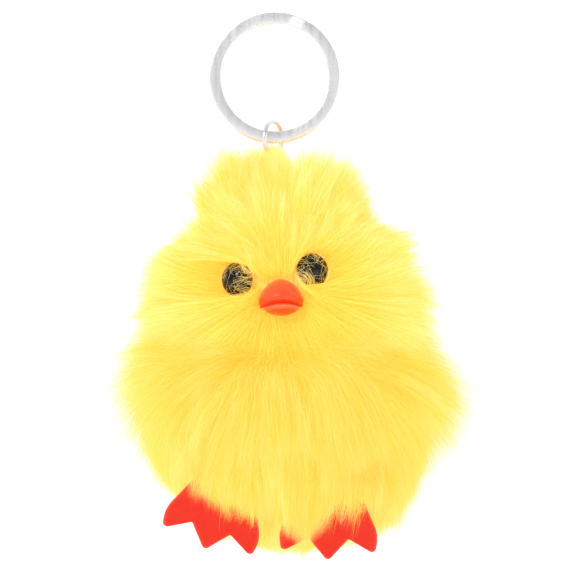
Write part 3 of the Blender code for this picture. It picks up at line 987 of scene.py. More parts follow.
@dataclass
class HangLoop:
    """The twisted cord loop through the jump ring, down to its knot in the head."""

    radius: float = 0.0006
    reach: float = 0.0013
    leg_gap: float = 0.000048
    gather: float = 0.92
    plies: int = 3
    sides_per_ply: int = 8
    groove: float = 0.12
    turns: float = 9.0
    steps: int = 220
    knot_radius: float = 0.0022
    knot_ring: tuple[float, float] = (0.55, 0.18)
    knot_height: float = 0.45
    knot_steps: int = 120

    def build(self) -> None:
        """Lay the plied cord along its loop, and wrap the knot from the same cord."""
        low, _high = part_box("hang_loop")
        top, along = joint("loop_swing")
        crown, _axis = joint("cord_twist")
        out = along.cross(UP).normalized()
        knot_z = low[2] + self.knot_radius
        drop = top.z - knot_z
        route = self.route(drop, top.z - crown.z)
        spots = [top + out * x + Vector((0, 0, z)) for x, z in route]
        sides = []
        for i in range(len(spots)):
            ahead = spots[min(i + 1, len(spots) - 1)] - spots[max(i - 1, 0)]
            sides.append((ahead.normalized().cross(along), along))
        mesh = sweep("hang_loop_cord", spots, sides, self.section)
        piece = new_piece("hang_loop_cord", mesh, dressed(CORD))
        self.add_knot(mesh, Vector((top.x, top.y, knot_z)))
        settle(piece, "loop", Part.CORD, "hang_loop")

    def route(self, drop: float, crown_drop: float) -> list[tuple[float, float]]:
        """The loop's line: up one leg, over the wire and down the other.

        Args:
            drop: From the jump ring's wire down to the knot.
            crown_drop: From the wire down to the crown.

        Returns:
            Places across and up, from the wire.
        """
        narrow = self.radius + self.leg_gap
        legs = self.steps // 3
        up = []
        for i in range(legs):
            z = -drop * (1 - i / legs)
            ease = smooth_step(1 + z / (crown_drop * self.gather)) if z > -crown_drop else 0.0
            up.append((narrow + (self.reach - narrow) * ease, z))
        arch = self.steps - 2 * legs
        over = [
            (self.reach * math.cos(math.pi * i / arch), self.reach * math.sin(math.pi * i / arch))
            for i in range(arch + 1)
        ]
        return up + over + [(-x, z) for x, z in reversed(up)]

    def section(self, share: float) -> list[tuple[float, float]]:
        """The cord's plies at a share of its length.

        Args:
            share: The share of the length, 0 to 1.

        Returns:
            The section's corners.
        """
        corners = []
        count = self.sides_per_ply * self.plies
        twist = 2 * math.pi * self.turns * share
        for j in range(count):
            angle = 2 * math.pi * j / count
            ridge = abs(math.cos(self.plies * angle / 2))
            radius = self.radius * (1 - self.groove + self.groove * ridge)
            corners.append((radius * math.cos(angle + twist), radius * math.sin(angle + twist)))
        return corners

    def add_knot(self, mesh: bpy.types.Mesh, centre: Vector) -> None:
        """Wind a torus knot of the same cord round the loop's end.

        Args:
            mesh: The loop's mesh, which gets the knot.
            centre: The knot's middle.
        """
        steps = self.knot_steps
        middle, swing = self.knot_ring
        spots = []
        for i in range(steps):
            angle = 2 * math.pi * i / steps
            ring = self.knot_radius * (middle + swing * math.cos(3 * angle))
            height = self.knot_radius * self.knot_height * math.sin(3 * angle)
            place = (ring * math.cos(2 * angle), ring * math.sin(2 * angle), height)
            spots.append(centre + Vector(place))
        sides = []
        for i in range(steps):
            ahead = (spots[(i + 1) % steps] - spots[i - 1]).normalized()
            across = ahead.cross(UP).normalized()
            sides.append((across, ahead.cross(across)))
        knot = sweep("knot", spots, sides, lambda _share: self.section(0.0), closed=True)
        shape = bmesh.new()
        shape.from_mesh(mesh)
        shape.from_mesh(knot)
        shape.to_mesh(mesh)
        shape.free()
        mesh.shade_smooth()


# --- Face -------------------------------------------------------------------------------------


@dataclass
class Mount:
    """A place on the head where an eye or the beak sits: Z out of the face, Y up."""

    node: str
    matrix: Matrix

    @property
    def spot(self) -> Vector:
        """Where the piece's axis meets the fabric."""
        return self.matrix.to_translation()

    @property
    def out(self) -> Vector:
        """The unit way out of the face."""
        return self.matrix.col[2].to_3d()


@dataclass
class Head:
    """The head's ball and the places of the face on it, read from the frame."""

    backing: float = 0.0011

    def __post_init__(self) -> None:
        """Find the ball and each mount from the CAD nodes."""
        low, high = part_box("head_stuffing")
        ball_r = (high[0] - low[0]) / 2
        self.centre = Vector(((low[0] + high[0]) / 2, (low[1] + high[1]) / 2, low[2] + ball_r))
        self.radius = ball_r + self.backing
        eyes = middle_of("right_eye_washer") - middle_of("left_eye_washer")
        self.across = Vector((eyes.x, 0.0, eyes.z)).normalized()
        self.mounts = {
            node: self.mount(node, f"{node}_washer") for node in ("left_eye", "right_eye", "beak")
        }

    def mount(self, node: str, washer: str) -> Mount:
        """Where a face piece sits, from the washer on its stem.

        Args:
            node: The face piece's CAD node.
            washer: The CAD node of its washer.

        Returns:
            The mount on the ball's fabric.
        """
        out = (middle_of(washer) - self.centre).normalized()
        right = (self.across - out * self.across.dot(out)).normalized()
        up = out.cross(right)
        turn = Matrix((right, up, out)).transposed().to_4x4()
        return Mount(node, Matrix.Translation(self.centre + out * self.radius) @ turn)


@dataclass
class Eye:
    """A glossy domed eye with a thin rolled rim and its ribbed shank."""

    mount: Mount
    radius: float = 0.0040
    height: float = 0.0030
    rim: float = 0.00025
    lift: float = 0.0003
    shank_r: float = 0.0012
    shank_l: float = 0.0060
    ribs: int = 3
    rib_half: float = 0.0003
    rib_height: float = 0.00012
    steps: int = 64
    dome_steps: int = 16
    rim_steps: int = 4
    sharp: float = math.radians(60)

    def build(self) -> None:
        """Turn the dome's profile about the mount's axis."""
        shape = bmesh.new()
        profile = self.profile()
        verts = [shape.verts.new((x, 0.0, z)) for x, z in profile]
        edges = [shape.edges.new(pair) for pair in zip(verts, verts[1:])]
        bmesh.ops.spin(
            shape,
            geom=verts + edges,
            cent=(0, 0, 0),
            axis=(0, 0, 1),
            angle=2 * math.pi,
            steps=self.steps,
            use_merge=True,
        )
        bmesh.ops.remove_doubles(shape, verts=shape.verts, dist=1e-6)
        bmesh.ops.recalc_face_normals(shape, faces=shape.faces)
        bmesh.ops.transform(shape, matrix=self.mount.matrix, verts=shape.verts)
        name = f"{self.mount.node}_dome"
        mesh = bpy.data.meshes.new(name)
        shape.to_mesh(mesh)
        shape.free()
        piece = new_piece(name, mesh, dressed(EYE))
        mesh.set_sharp_from_angle(angle=self.sharp)
        settle(piece, "head", Part.EYE, self.mount.node)

    def profile(self) -> list[tuple[float, float]]:
        """The dome, its rolled rim, its flat back and the ribbed shank.

        Returns:
            Places out from the axis and along it.
        """
        points = []
        for i in range(self.dome_steps + 1):
            angle = math.pi / 2 * (1 - i / self.dome_steps)
            points.append((self.radius * math.cos(angle), self.rim + self.height * math.sin(angle)))
        for i in range(1, self.rim_steps + 1):
            angle = -math.pi / 2 * i / self.rim_steps
            flat = self.radius - self.rim + self.rim * math.cos(angle)
            points.append((flat, self.rim + self.rim * math.sin(angle)))
        points[0] = (0.0, points[0][1])
        points.append((self.shank_r, 0.0))
        for rib in range(1, self.ribs + 1):
            z = -self.shank_l * rib / (self.ribs + 1)
            points += [
                (self.shank_r, z + self.rib_half),
                (self.shank_r + self.rib_height, z),
                (self.shank_r, z - self.rib_half),
            ]
        points += [(self.shank_r, -self.shank_l), (0.0, -self.shank_l)]
        return [(x, z + self.lift) for x, z in points]


@dataclass
class Beak:
    """The moulded beak: a domed upper bill over a shorter lower lip, with an arched mouth."""

    mount: Mount
    half_width: float = 0.0051
    upper_height: float = 0.0047
    upper_out: float = 0.0053
    lower_height: float = 0.0036
    lower_out: float = 0.0052
    arch: float = 0.0017
    parting: float = 0.00025
    tuck: float = 0.0010
    drop: float = 0.0014
    level: float = math.radians(-6.5)
    lower_share: float = 0.96
    pinch: float = 0.19
    lower_pinch: float = 0.10
    groove: float = 0.24
    upper_flat: float = 0.10
    lower_flat: float = 0.06
    back: float = 0.0006
    stem_r: float = 0.0016
    stem_l: float = 0.0060
    stem_sunk: float = 0.002
    # Painted shade in the mouth's crease, and painted highlights on the bill's edge and the lower lip's
    # rim.
    crease_depth: tuple[float, float] = (0.9, 0.0011)
    edge_zone: tuple[float, float] = (0.0008, 0.004)
    edge_glint: tuple[float, float] = (0.75, 0.0022)
    lip_zone: tuple[float, float] = (-0.0002, 0.001)
    lip_glint: tuple[float, float] = (0.8, 0.0006)
    sharp: float = math.radians(70)

    def mouth(self, x: float) -> float:
        """The mouth line's height at a place across the beak."""
        return -self.arch * (x / self.half_width) ** 2

    def build(self) -> None:
        """Shape both bills and the stem as one moulding."""
        shape = bmesh.new()
        self.add_bill(shape, (self.half_width, self.upper_height, self.upper_out), upper=True)
        lower = (self.half_width * self.lower_share, self.lower_height, self.lower_out)
        self.add_bill(shape, lower, upper=False)
        stem = bmesh.ops.create_cone(
            shape,
            cap_ends=True,
            segments=24,
            radius1=self.stem_r,
            radius2=self.stem_r,
            depth=self.stem_l + self.stem_sunk,
        )["verts"]
        stem_z = (self.stem_sunk - self.stem_l) / 2
        bmesh.ops.translate(shape, vec=(0, self.drop, stem_z), verts=stem)
        # Painted shade in the mouth's crease, and painted highlight on the lip's rim and the bill's edge.
        creases = [self.crease(vert.co) for vert in shape.verts]
        rims = [self.lip(vert.co) for vert in shape.verts]
        placed = (
            self.mount.matrix
            @ Matrix.Rotation(self.level, 4, "Z")
            @ Matrix.Translation((0, -self.drop, 0))
        )
        bmesh.ops.transform(shape, matrix=placed, verts=shape.verts)
        mesh = bpy.data.meshes.new("beak_moulding")
        shape.to_mesh(mesh)
        shape.free()
        mark(mesh, "crease", creases)
        mark(mesh, "crease_rim", rims)
        piece = new_piece("beak_moulding", mesh, dressed(BEAK))
        mesh.set_sharp_from_angle(angle=self.sharp)
        settle(piece, "head", Part.BEAK, "beak")

    def add_bill(self, shape: bmesh.types.BMesh, radii: tuple[float, float, float], upper: bool) -> None:
        """Add one bill: the front of an egg, closed along the mouth line.

        Args:
            shape: The mesh under construction.
            radii: The bill's half width, height and reach out of the face.
            upper: True for the upper bill.
        """
        made = bmesh.ops.create_uvsphere(shape, u_segments=72, v_segments=48, radius=1.0)["verts"]
        for vert in made:
            x, y, z = (vert.co[i] * radii[i] for i in range(3))
            line = self.mouth(x)
            if upper:
                y = line + (y - line) * self.upper_flat if y < line else y
                x *= 1 - self.pinch * max(vert.co.y, 0.0)
                z *= 1 - self.groove * math.exp(-(((y - line) / self.tuck) ** 2))
            else:
                low = line - self.parting
                y = low + (y - low) * self.lower_flat if y > low else y
                z *= 1 - self.lower_pinch * max(-y / radii[1], 0.0)
            vert.co = (x, y, max(z, -self.back))

    def crease(self, place: Vector) -> float:
        """How deep in the mouth's shade a point lies, 0 to 1.

        Args:
            place: The point, in the beak's own axes.

        Returns:
            The share of shade.
        """
        above = place.y - self.mouth(place.x)
        share, depth = self.crease_depth
        return share * math.exp(-above / depth) if above > -self.parting / 2 else 0.0

    def lip(self, place: Vector) -> float:
        """How much painted highlight a point has, 0 to 1: on the lit top rim of the lower lip, and painted
        light along the bill's edge where the fur meets it.

        Args:
            place: The point, in the beak's own axes.

        Returns:
            The share of painted highlight.
        """
        below = self.mouth(place.x) - self.parting - place.y
        if place.y > self.edge_zone[0] and place.z < self.edge_zone[1]:
            share, width = self.edge_glint
            return share * math.exp(-((place.z / width) ** 2))
        if below < self.lip_zone[0] or place.z < self.lip_zone[1]:
            return 0.0
        share, width = self.lip_glint
        return share * math.exp(-((below / width) ** 2))


# --- Feet -------------------------------------------------------------------------------------


@dataclass
class Foot:
    """A flat felt foot with three rounded toes, slightly curled, with a soft cut edge."""

    side: str
    thickness: float = 0.0010
    length: float = 0.0185
    toe_arc_r: float = 0.0316
    toe_step: float = math.radians(19.6)
    notch: float = 0.00435
    tip_r: float = 0.0010
    bulge: float = 0.0008
    heel_half_width: float = 0.0050
    heel_top: float = 0.0008
    curl: float = 0.0007
    wave: float = 260.0
    ripple: float = 0.00005
    wave_starts: tuple[float, float] = (0.6, 2.2)
    round_from: float = 0.9
    thin_edge: float = 0.25
    # Painted highlight along the cut edge: where it starts and how strong it grows.
    pale_edge: float = 0.93
    pale_share: float = 0.8
    middle: float = 0.47
    outline_step: float = 0.0006
    rings: tuple[float, ...] = (0.0, 0.2, 0.4, 0.6, 0.76, 0.87, 0.94, 0.975, 1.0)

    def build(self) -> None:
        """Build both faces and the rounded rim as rings round the foot's middle."""
        hinge, axis = joint(f"{self.side}_foot_flap")
        outline = self.outline()
        middle = Vector((0.0, -self.length * self.middle))
        right = -axis
        front = Vector((0, -1, 0))
        up = front.cross(right).normalized()
        if up.z < 0:
            up = -up
        shape = bmesh.new()
        edge_marks = []
        faces_of = []
        for face in (1, -1):
            rings = []
            for share in self.rings:
                ring = []
                for point in outline if share else [middle]:
                    flat = middle + (point - middle) * share
                    ring.append(self.vertex(shape, flat, share, face, (hinge, right, up, front)))
                    edge_marks.append(self.paleness(share))
                rings.append(ring)
            faces_of.append(rings)
        self.skin(shape, faces_of)
        mesh = bpy.data.meshes.new(f"{self.side}_foot_felt")
        bmesh.ops.recalc_face_normals(shape, faces=shape.faces)
        shape.to_mesh(mesh)
        shape.free()
        # Painted highlight along the cut edge, for the felt's finish.
        mark(mesh, "cut_edge", edge_marks)
        piece = new_piece(f"{self.side}_foot_felt", mesh, dressed(FELT))
        settle(piece, f"{self.side}_foot", Part.FOOT, f"{self.side}_foot")
        self.area(outline)
        for number in (1, 2, 3):
            repaint(f"{self.side}_foot_stitch_{number}", dressed(STITCHING))

    def paleness(self, share: float) -> float:
        """How much painted highlight the felt gets at a share of the way from its middle to its cut edge.
        """
        return self.pale_share * max(share - self.pale_edge, 0.0) / (1 - self.pale_edge)

    def vertex(
        self,
        shape: bmesh.types.BMesh,
        flat: Vector,
        share: float,
        face: int,
        axes: tuple[Vector, Vector, Vector, Vector],
    ) -> bmesh.types.BMVert:
        """Add one vertex of a face: thinner towards the rim and curled towards the toes.

        Args:
            shape: The mesh under construction.
            flat: The place on the flat felt.
            share: How far it lies from the middle to the cut edge.
            face: 1 for the front face and -1 for the back.
            axes: The hinge's place, and the unit ways right, up and forward.

        Returns:
            The vertex.
        """
        hinge, right, up, front = axes
        past = max(share - self.round_from, 0.0) / (1 - self.round_from)
        round_off = math.sqrt(max(1 - past**2, 0.0))
        thick = self.thickness / 2 * (self.thin_edge + (1 - self.thin_edge) * round_off)
        reach = max(-flat.y / self.length, 0.0)
        start = self.wave_starts[self.side == "right"]
        swing = self.curl * reach**2 * math.sin(flat.x * self.wave + start)
        ripple = self.ripple * math.sin(flat.x * 1900.0) * math.sin(flat.y * 1500.0)
        depth = face * (thick + ripple) + swing
        return shape.verts.new(hinge + right * flat.x + up * flat.y + front * depth)

    def skin(self, shape: bmesh.types.BMesh, faces_of: list[list]) -> None:
        """Join the rings of both faces, and the two faces along the rim.

        Args:
            shape: The mesh under construction.
            faces_of: The rings of vertices of the front face and of the back face.
        """
        for rings in faces_of:
            count = len(rings[1])
            for j in range(count):
                k = (j + 1) % count
                shape.faces.new((rings[0][0], rings[1][j], rings[1][k]))
                for one, two in zip(rings[1:], rings[2:]):
                    shape.faces.new((one[j], two[j], two[k], one[k]))
        one, two = faces_of[0][-1], faces_of[1][-1]
        for j in range(len(one)):
            k = (j + 1) % len(one)
            shape.faces.new((one[j], one[k], two[k], two[j]))

    def outline(self) -> list[Vector]:
        """The cut outline, its hinge line at the origin and its middle toe down.

        Returns:
            The outline's points in order.
        """
        arc_z = self.toe_arc_r - self.length
        side = Vector((self.toe_arc_r * math.sin(self.toe_step), 0.0))
        side.y = arc_z - self.toe_arc_r * math.cos(self.toe_step)
        notch_r = self.toe_arc_r * math.cos(self.toe_step / 2) - self.notch
        half = [
            (0.0, -self.length, self.tip_r),
            (
                notch_r * math.sin(self.toe_step / 2),
                arc_z - notch_r * math.cos(self.toe_step / 2),
                self.tip_r / 2,
            ),
            (side.x, side.y, self.tip_r),
            (side.x + self.bulge, side.y + self.notch, 7 * self.tip_r),
            (self.heel_half_width, self.heel_top, 2 * self.tip_r),
        ]
        corners = half + [(-x, z, r) for x, z, r in reversed(half[1:])]
        points: list[Vector] = []
        for i, (x, z, radius) in enumerate(corners):
            points += rounded_corner(
                Vector((x, z)),
                Vector(corners[i - 1][:2]),
                Vector(corners[(i + 1) % len(corners)][:2]),
                radius,
            )
        return spaced(points, self.outline_step)

    @staticmethod
    def area(outline: list[Vector]) -> float:
        """The outline's flat area."""
        pairs = zip(outline, outline[1:] + outline[:1])
        return abs(sum(a.x * b.y - b.x * a.y for a, b in pairs)) / 2


def rounded_corner(here: Vector, before: Vector, after: Vector, radius: float) -> list[Vector]:
    """The arc that rounds one corner of an outline.

    Args:
        here: The corner.
        before: The corner before it.
        after: The corner after it.
        radius: The arc's radius.

    Returns:
        The arc's points in order.
    """
    back = (before - here).normalized()
    ahead = (after - here).normalized()
    half = back.angle(ahead) / 2
    run = radius / math.tan(half)
    centre = here + (back + ahead).normalized() * (radius / math.sin(half))
    first = here + back * run - centre
    last = here + ahead * run - centre
    sweep_angle = math.atan2(first.x * last.y - first.y * last.x, first.dot(last))
    steps = max(4, math.ceil(abs(sweep_angle) / math.radians(12)))
    return [centre + Matrix.Rotation(sweep_angle * i / steps, 2) @ first for i in range(steps + 1)]


def spaced(points: list[Vector], most: float) -> list[Vector]:
    """Add points along an outline's straight runs, so that no step is longer than most.

    Args:
        points: The closed outline.
        most: The longest step.

    Returns:
        The outline with the points added.
    """
    result = []
    for one, two in zip(points, points[1:] + points[:1]):
        steps = max(1, math.ceil((two - one).length / most))
        result += [one.lerp(two, i / steps) for i in range(steps)]
    return result


# --- Fur --------------------------------------------------------------------------------------


Strokes = tuple[np.ndarray, np.ndarray, np.ndarray, np.ndarray]


@dataclass(frozen=True)
class Reach:
    """How far the fur stands from a ball's middle, in millimetres, by height angle and side."""

    angles: tuple[float, ...]
    left: tuple[float, ...]
    right: tuple[float, ...]
    front: tuple[float, ...]
    back: tuple[float, ...]
    locks: tuple[tuple[float, float, float], ...] = ()
    locks_from: float = 42.0
    locks_over: float = 18.0

    def at(self, ways: np.ndarray) -> np.ndarray:
        """The reach in metres along each unit direction.

        Args:
            ways: Unit directions, one a row.

        Returns:
            The reach along each.
        """
        height = np.degrees(np.arcsin(np.clip(ways[:, 2], -1.0, 1.0)))
        flat = np.maximum(np.hypot(ways[:, 0], ways[:, 1]), 1e-9)
        across = (ways[:, 0] / flat) ** 2
        along = (ways[:, 1] / flat) ** 2
        sides = {
            side: np.interp(height, self.angles, getattr(self, side))
            for side in ("left", "right", "front", "back")
        }
        sideways = np.where(ways[:, 0] > 0, sides["right"], sides["left"])
        lengthways = np.where(ways[:, 1] > 0, sides["back"], sides["front"])
        reach = across * sideways + along * lengthways
        above = np.clip((height - self.locks_from) / self.locks_over, 0, 1)
        spot = reach * ways[:, 0]
        for middle, half, share in self.locks:
            reach = reach * (1 + above * share * np.exp(-(((spot - middle) / half) ** 2)))
        return reach * MM


HEAD_REACH = Reach(
    angles=(-90, -50, -22, -11, 0, 10, 16, 22, 30, 38, 45, 51, 57, 66, 78, 90),
    left=(26, 35, 36.5, 35.5, 34.4, 32.5, 30.2, 27, 23.8, 27, 28.8, 30.8, 33.4, 34, 33, 32),
    right=(26, 37, 42, 41, 39.2, 37.4, 35.4, 31.8, 29.0, 29.5, 34.2, 35.8, 35.4, 34.5, 33, 32),
    front=(36, 34, 23.0, 20.5, 19, 19, 19, 19.5, 20, 21, 23, 25, 27, 29, 31, 32),
    back=(26, 31, 32, 32, 31, 30, 30, 29, 28, 28, 28.5, 29, 30, 31, 32, 32),
    locks=((4.7, 2.0, -0.32), (-4.6, 1.2, -0.10), (12.5, 3.0, 0.03), (-12.5, 2.5, 0.03)),
)
TORSO_REACH = Reach(
    angles=(-90, -65, -45, -30, -22, -13, -5, 2, 9, 15, 21, 30, 45, 65, 90),
    left=(27, 26.5, 26.5, 27, 29.2, 32.2, 35.5, 38.5, 42.2, 45.2, 45.8, 42.6, 38, 32, 25),
    right=(27, 29, 34.6, 36.8, 34.4, 36.4, 41.0, 47.4, 48.2, 49.4, 50, 47, 42, 33, 25),
    front=(27, 26.5, 28.5, 31.5, 33.5, 35, 36, 36.5, 37, 37, 36.5, 35, 32, 28, 25),
    back=(27, 28.5, 31, 34, 35.5, 37, 38, 39, 39.5, 39.5, 39, 37, 34, 29, 25),
)


@dataclass
class Fibres:
    """Many fibres: their points from root to tip, and each one's width, tint and facing."""

    points: np.ndarray
    width: np.ndarray
    tint: np.ndarray
    facing: np.ndarray
    taper: float = 0.4
    chart_margin: float = 0.02

    def keep(self, which: np.ndarray) -> Fibres:
        """The fibres that a mask picks."""
        return Fibres(self.points[which], self.width[which], self.tint[which], self.facing[which])

    def mesh(self, name: str) -> bpy.types.Mesh:
        """Ribbons that narrow to a point, with their run and tint stored for the finish.

        Args:
            name: The mesh's name.

        Returns:
            The mesh.
        """
        count, rows, _ = self.points.shape
        ahead = np.gradient(self.points, axis=1)
        ahead /= np.linalg.norm(ahead, axis=2, keepdims=True) + 1e-12
        side = np.cross(ahead, self.facing[:, None, :])
        side /= np.linalg.norm(side, axis=2, keepdims=True) + 1e-12
        run = np.linspace(0.0, 1.0, rows)
        taper = (1 - run[:-1]) ** self.taper
        half = side[:, :-1] * (self.width[:, None, None] / 2) * taper[None, :, None]
        body = self.points[:, :-1]
        pairs = np.stack([body - half, body + half], axis=2).reshape(count, -1, 3)
        verts = np.concatenate([pairs, self.points[:, -1:]], axis=1)
        per = verts.shape[1]
        base = (np.arange(count) * per)[:, None]
        quads = [base + np.array([[2 * i, 2 * i + 1, 2 * i + 3, 2 * i + 2]]) for i in range(rows - 2)]
        tips = base + np.array([[2 * rows - 4, 2 * rows - 3, 2 * rows - 2]])
        corners = np.concatenate([*quads, tips], axis=1)
        sizes = np.tile(np.array([4] * (rows - 2) + [3]), count)
        mesh = bpy.data.meshes.new(name)
        mesh.vertices.add(count * per)
        mesh.vertices.foreach_set("co", verts.astype(np.float32).ravel())
        mesh.loops.add(corners.size)
        mesh.loops.foreach_set("vertex_index", corners.astype(np.int32).ravel())
        mesh.polygons.add(len(sizes))
        starts = np.concatenate([[0], np.cumsum(sizes)[:-1]])
        mesh.polygons.foreach_set("loop_start", starts.astype(np.int32))
        mesh.update(calc_edges=True)
        runs = np.tile(np.append(np.repeat(run[:-1], 2), 1.0), count)
        tints = np.repeat(self.tint, per)
        mark(mesh, "fibre_run", runs)
        mark(mesh, "fibre_tint", tints)
        chart = mesh.uv_layers.new(name="OFBake")
        order = corners.ravel()
        margin = self.chart_margin
        spots = margin + (1 - 2 * margin) * np.stack([tints[order], runs[order]], axis=1)
        chart.data.foreach_set("uv", spots.astype(np.float32).ravel())
        return mesh


def unit(rows: np.ndarray) -> np.ndarray:
    """Each row at length 1."""
    return rows / (np.linalg.norm(rows, axis=-1, keepdims=True) + 1e-12)


def even_directions(count: int, rng: np.random.Generator) -> np.ndarray:
    """Unit directions spread evenly over a ball, each moved a little.

    Args:
        count: How many there are.
        rng: The random draw.

    Returns:
        Unit directions, one a row.
    """
    index = np.arange(count) + 0.5
    height = 1 - 2 * index / count
    angle = math.pi * (1 + math.sqrt(5)) * index
    flat = np.sqrt(1 - height**2)
    ways = np.stack([flat * np.cos(angle), flat * np.sin(angle), height], axis=1)
    return unit(ways + rng.normal(0, 0.5 / math.sqrt(count), ways.shape))


def on_circle(angles: np.ndarray) -> np.ndarray:
    """Points on the unit circle at these angles."""
    return np.stack([np.cos(angles), np.sin(angles)], axis=1)


def bowed(start: np.ndarray, knee: np.ndarray, end: np.ndarray, run: np.ndarray) -> np.ndarray:
    """Points along smooth bows that lean towards their knees.

    Args:
        start: Where each bow starts.
        knee: What each leans towards.
        end: Where each ends.
        run: Shares of the way along, 0 to 1.

    Returns:
        The points of each bow.
    """
    first = start[:, None] * (1 - run) ** 2
    return first + 2 * knee[:, None] * run * (1 - run) + end[:, None] * run**2


def drift(places: np.ndarray, scale: float, seed: int) -> np.ndarray:
    """A slow pattern over space, 0 to 1, from a few crossing waves.

    Args:
        places: Places, one a row.
        scale: How quickly the pattern changes, in waves over a metre.
        seed: Seed of the pattern.

    Returns:
        The pattern's value at each place.
    """
    rng = np.random.default_rng(seed)
    total = np.zeros(len(places))
    for _ in range(7):
        way = unit(rng.normal(size=3)) * scale * rng.uniform(0.6, 1.7)
        total += np.sin(places @ way + rng.uniform(0, 2 * math.pi))
    return 0.5 + 0.5 * np.tanh(total / 2.2)


@dataclass
class Pelt:
    """The fur on one ball, grown in tufts that are combed away from the face."""

    body: str
    centre: Vector
    core: tuple[float, float, float]
    reach: Reach
    face: Vector
    tufts: int
    lean: float
    face_lean: float
    weight: float
    seed: int
    hang: float = 0.0
    drape: float = 0.0
    apron: float = 0.0
    gold: float = 0.0
    strands: int = 7
    per_strand: int = 19
    rows: int = 5
    spread: float = 0.095
    clump: float = 0.62
    width: float = 0.00009
    stir: float = 0.22
    ruffle: float = 0.05
    unruly: float = 0.11
    tuft_sizes: tuple[float, float] = (0.94, 1.03)
    strand_sizes: tuple[float, float] = (0.93, 1.02)
    fibre_sizes: tuple[float, float] = (0.93, 1.0)
    strand_pulls: tuple[float, float] = (0.6, 1.2)
    fibre_pulls: tuple[float, float] = (0.55, 0.95)
    widths: tuple[float, float] = (0.6, 1.35)
    turned: float = 0.9
    stand: tuple[float, float] = (0.25, 0.45)
    knee: float = 0.18
    patch_waves: float = 190.0
    stir_waves: float = 520.0
    ruffle_waves: float = 430.0
    # Painted shade round the beak: how far it reaches and how gold it turns the fibres.
    blush: float = 0.0048
    blush_tint: float = 0.4
    patch_tint: float = 0.15
    tuft_tint: float = 0.28
    pale_tint: tuple[float, float] = (0.0, 0.25)
    gold_tint: tuple[float, float] = (0.45, 0.80)
    gold_share: float = 0.28
    stray_share: float = 0.03
    stray_pull: float = 0.15
    face_angle: float = 0.75
    tuft_stray: tuple[float, float] = (0.0006, 0.0002)
    fibre_stray: tuple[float, float] = (0.0003, 0.0001)

    def grow(self) -> Fibres:
        """Grow every fibre.

        Returns:
            The fibres of the whole ball.
        """
        rng = np.random.default_rng(self.seed)
        tufts = self.tufts // 1
        spread = self.spread * math.sqrt(self.tufts / tufts)
        tuft_ways = even_directions(tufts, rng)
        tuft_size = rng.uniform(*self.tuft_sizes, tufts) * self.ruffled(tuft_ways)
        tuft_tips = self.tips(unit(tuft_ways + rng.normal(0, self.unruly, (tufts, 3))), tuft_size)
        tuft = np.repeat(np.arange(tufts), self.strands)
        strand_ways = unit(tuft_ways[tuft] + rng.normal(0, spread, (len(tuft), 3)))
        strand_size = tuft_size[tuft] * rng.uniform(*self.strand_sizes, len(tuft))
        pull = self.clump * rng.uniform(*self.strand_pulls, len(tuft))
        strand_tips = self.pulled(self.tips(strand_ways, strand_size), tuft_tips[tuft], pull)
        owner = np.repeat(np.arange(len(tuft)), self.per_strand)
        count = len(owner)
        ways = unit(strand_ways[owner] + rng.normal(0, spread * 0.5, (count, 3)))
        size = strand_size[owner] * rng.uniform(*self.fibre_sizes, count)
        stray = rng.random(count) < self.stray_share
        pull = np.where(stray, self.stray_pull, rng.uniform(*self.fibre_pulls, count))
        tips = self.pulled(self.tips(ways, size), strand_tips[owner], pull)
        roots = np.array(self.centre) + ways * np.array(self.core)
        points = self.bend(roots, tips, ways, owner, rng)
        patches = drift(roots, self.patch_waves, self.seed + 5)
        is_gold = rng.random(len(tuft)) < self.gold_share
        golden = rng.uniform(*self.gold_tint, len(tuft))
        shades = np.where(is_gold, golden, rng.uniform(*self.pale_tint, len(tuft)))
        shades += rng.random(tufts)[tuft] * self.tuft_tint
        # Painted shade round the beak: fibres rooted near it turn gold.
        near = np.linalg.norm(roots - np.array(self.face), axis=1) / self.blush
        tint = self.gold + self.patch_tint * patches + shades[owner]
        tint += self.blush_tint * np.exp(-(near**2))
        width = self.width * rng.uniform(*self.widths, count) * 1.0
        facing = unit(ways + rng.normal(0, self.turned, (count, 3)))
        return Fibres(points, width, np.clip(tint, 0, 1), facing)

    def pulled(self, tips: np.ndarray, shared: np.ndarray, pull: np.ndarray) -> np.ndarray:
        """Draw tips towards shared ones, each at its own distance from the ball's middle.

        Args:
            tips: The tips.
            shared: The tip that each is drawn towards.
            pull: How far each is drawn, 0 to 1.

        Returns:
            The drawn tips.
        """
        centre = np.array(self.centre)
        far = np.linalg.norm(tips - centre, axis=1) / np.linalg.norm(shared - centre, axis=1)
        beside = centre + (shared - centre) * far[:, None]
        return tips * (1 - pull[:, None]) + beside * pull[:, None]

    def comb(self, ways: np.ndarray) -> np.ndarray:
        """How far and which way each fibre leans, along the ball's skin.

        Args:
            ways: The unit directions that the fibres root along.

        Returns:
            The lean of each, as a share of its own direction.
        """
        places = ways * np.array(self.core)
        away = places + np.array(self.centre - self.face)
        away = unit(away - ways * np.sum(away * ways, axis=1, keepdims=True))
        down = np.array([0.0, 0.0, -1.0]) + ways * ways[:, 2:3]
        to_face = unit(np.array(self.face - self.centre)[None, :])
        angle = np.arccos(np.clip(ways @ to_face[0], -1, 1))
        amount = self.lean + self.face_lean * np.exp(-((angle / self.face_angle) ** 2))
        low = np.clip(-ways[:, 2:3] - 0.1, 0, 1)
        high = np.clip(ways[:, 2:3] * 1.5, 0, 1)
        waves = [drift(places, self.stir_waves, self.seed + i) - 0.5 for i in range(3)]
        stirred = np.stack(waves, axis=1)
        front = np.clip(-ways[:, 1:2], 0, 1) ** 2
        pull = down * (self.weight + self.hang * low + self.drape * high + self.apron * front)
        return away * amount[:, None] + pull + stirred * 2 * self.stir

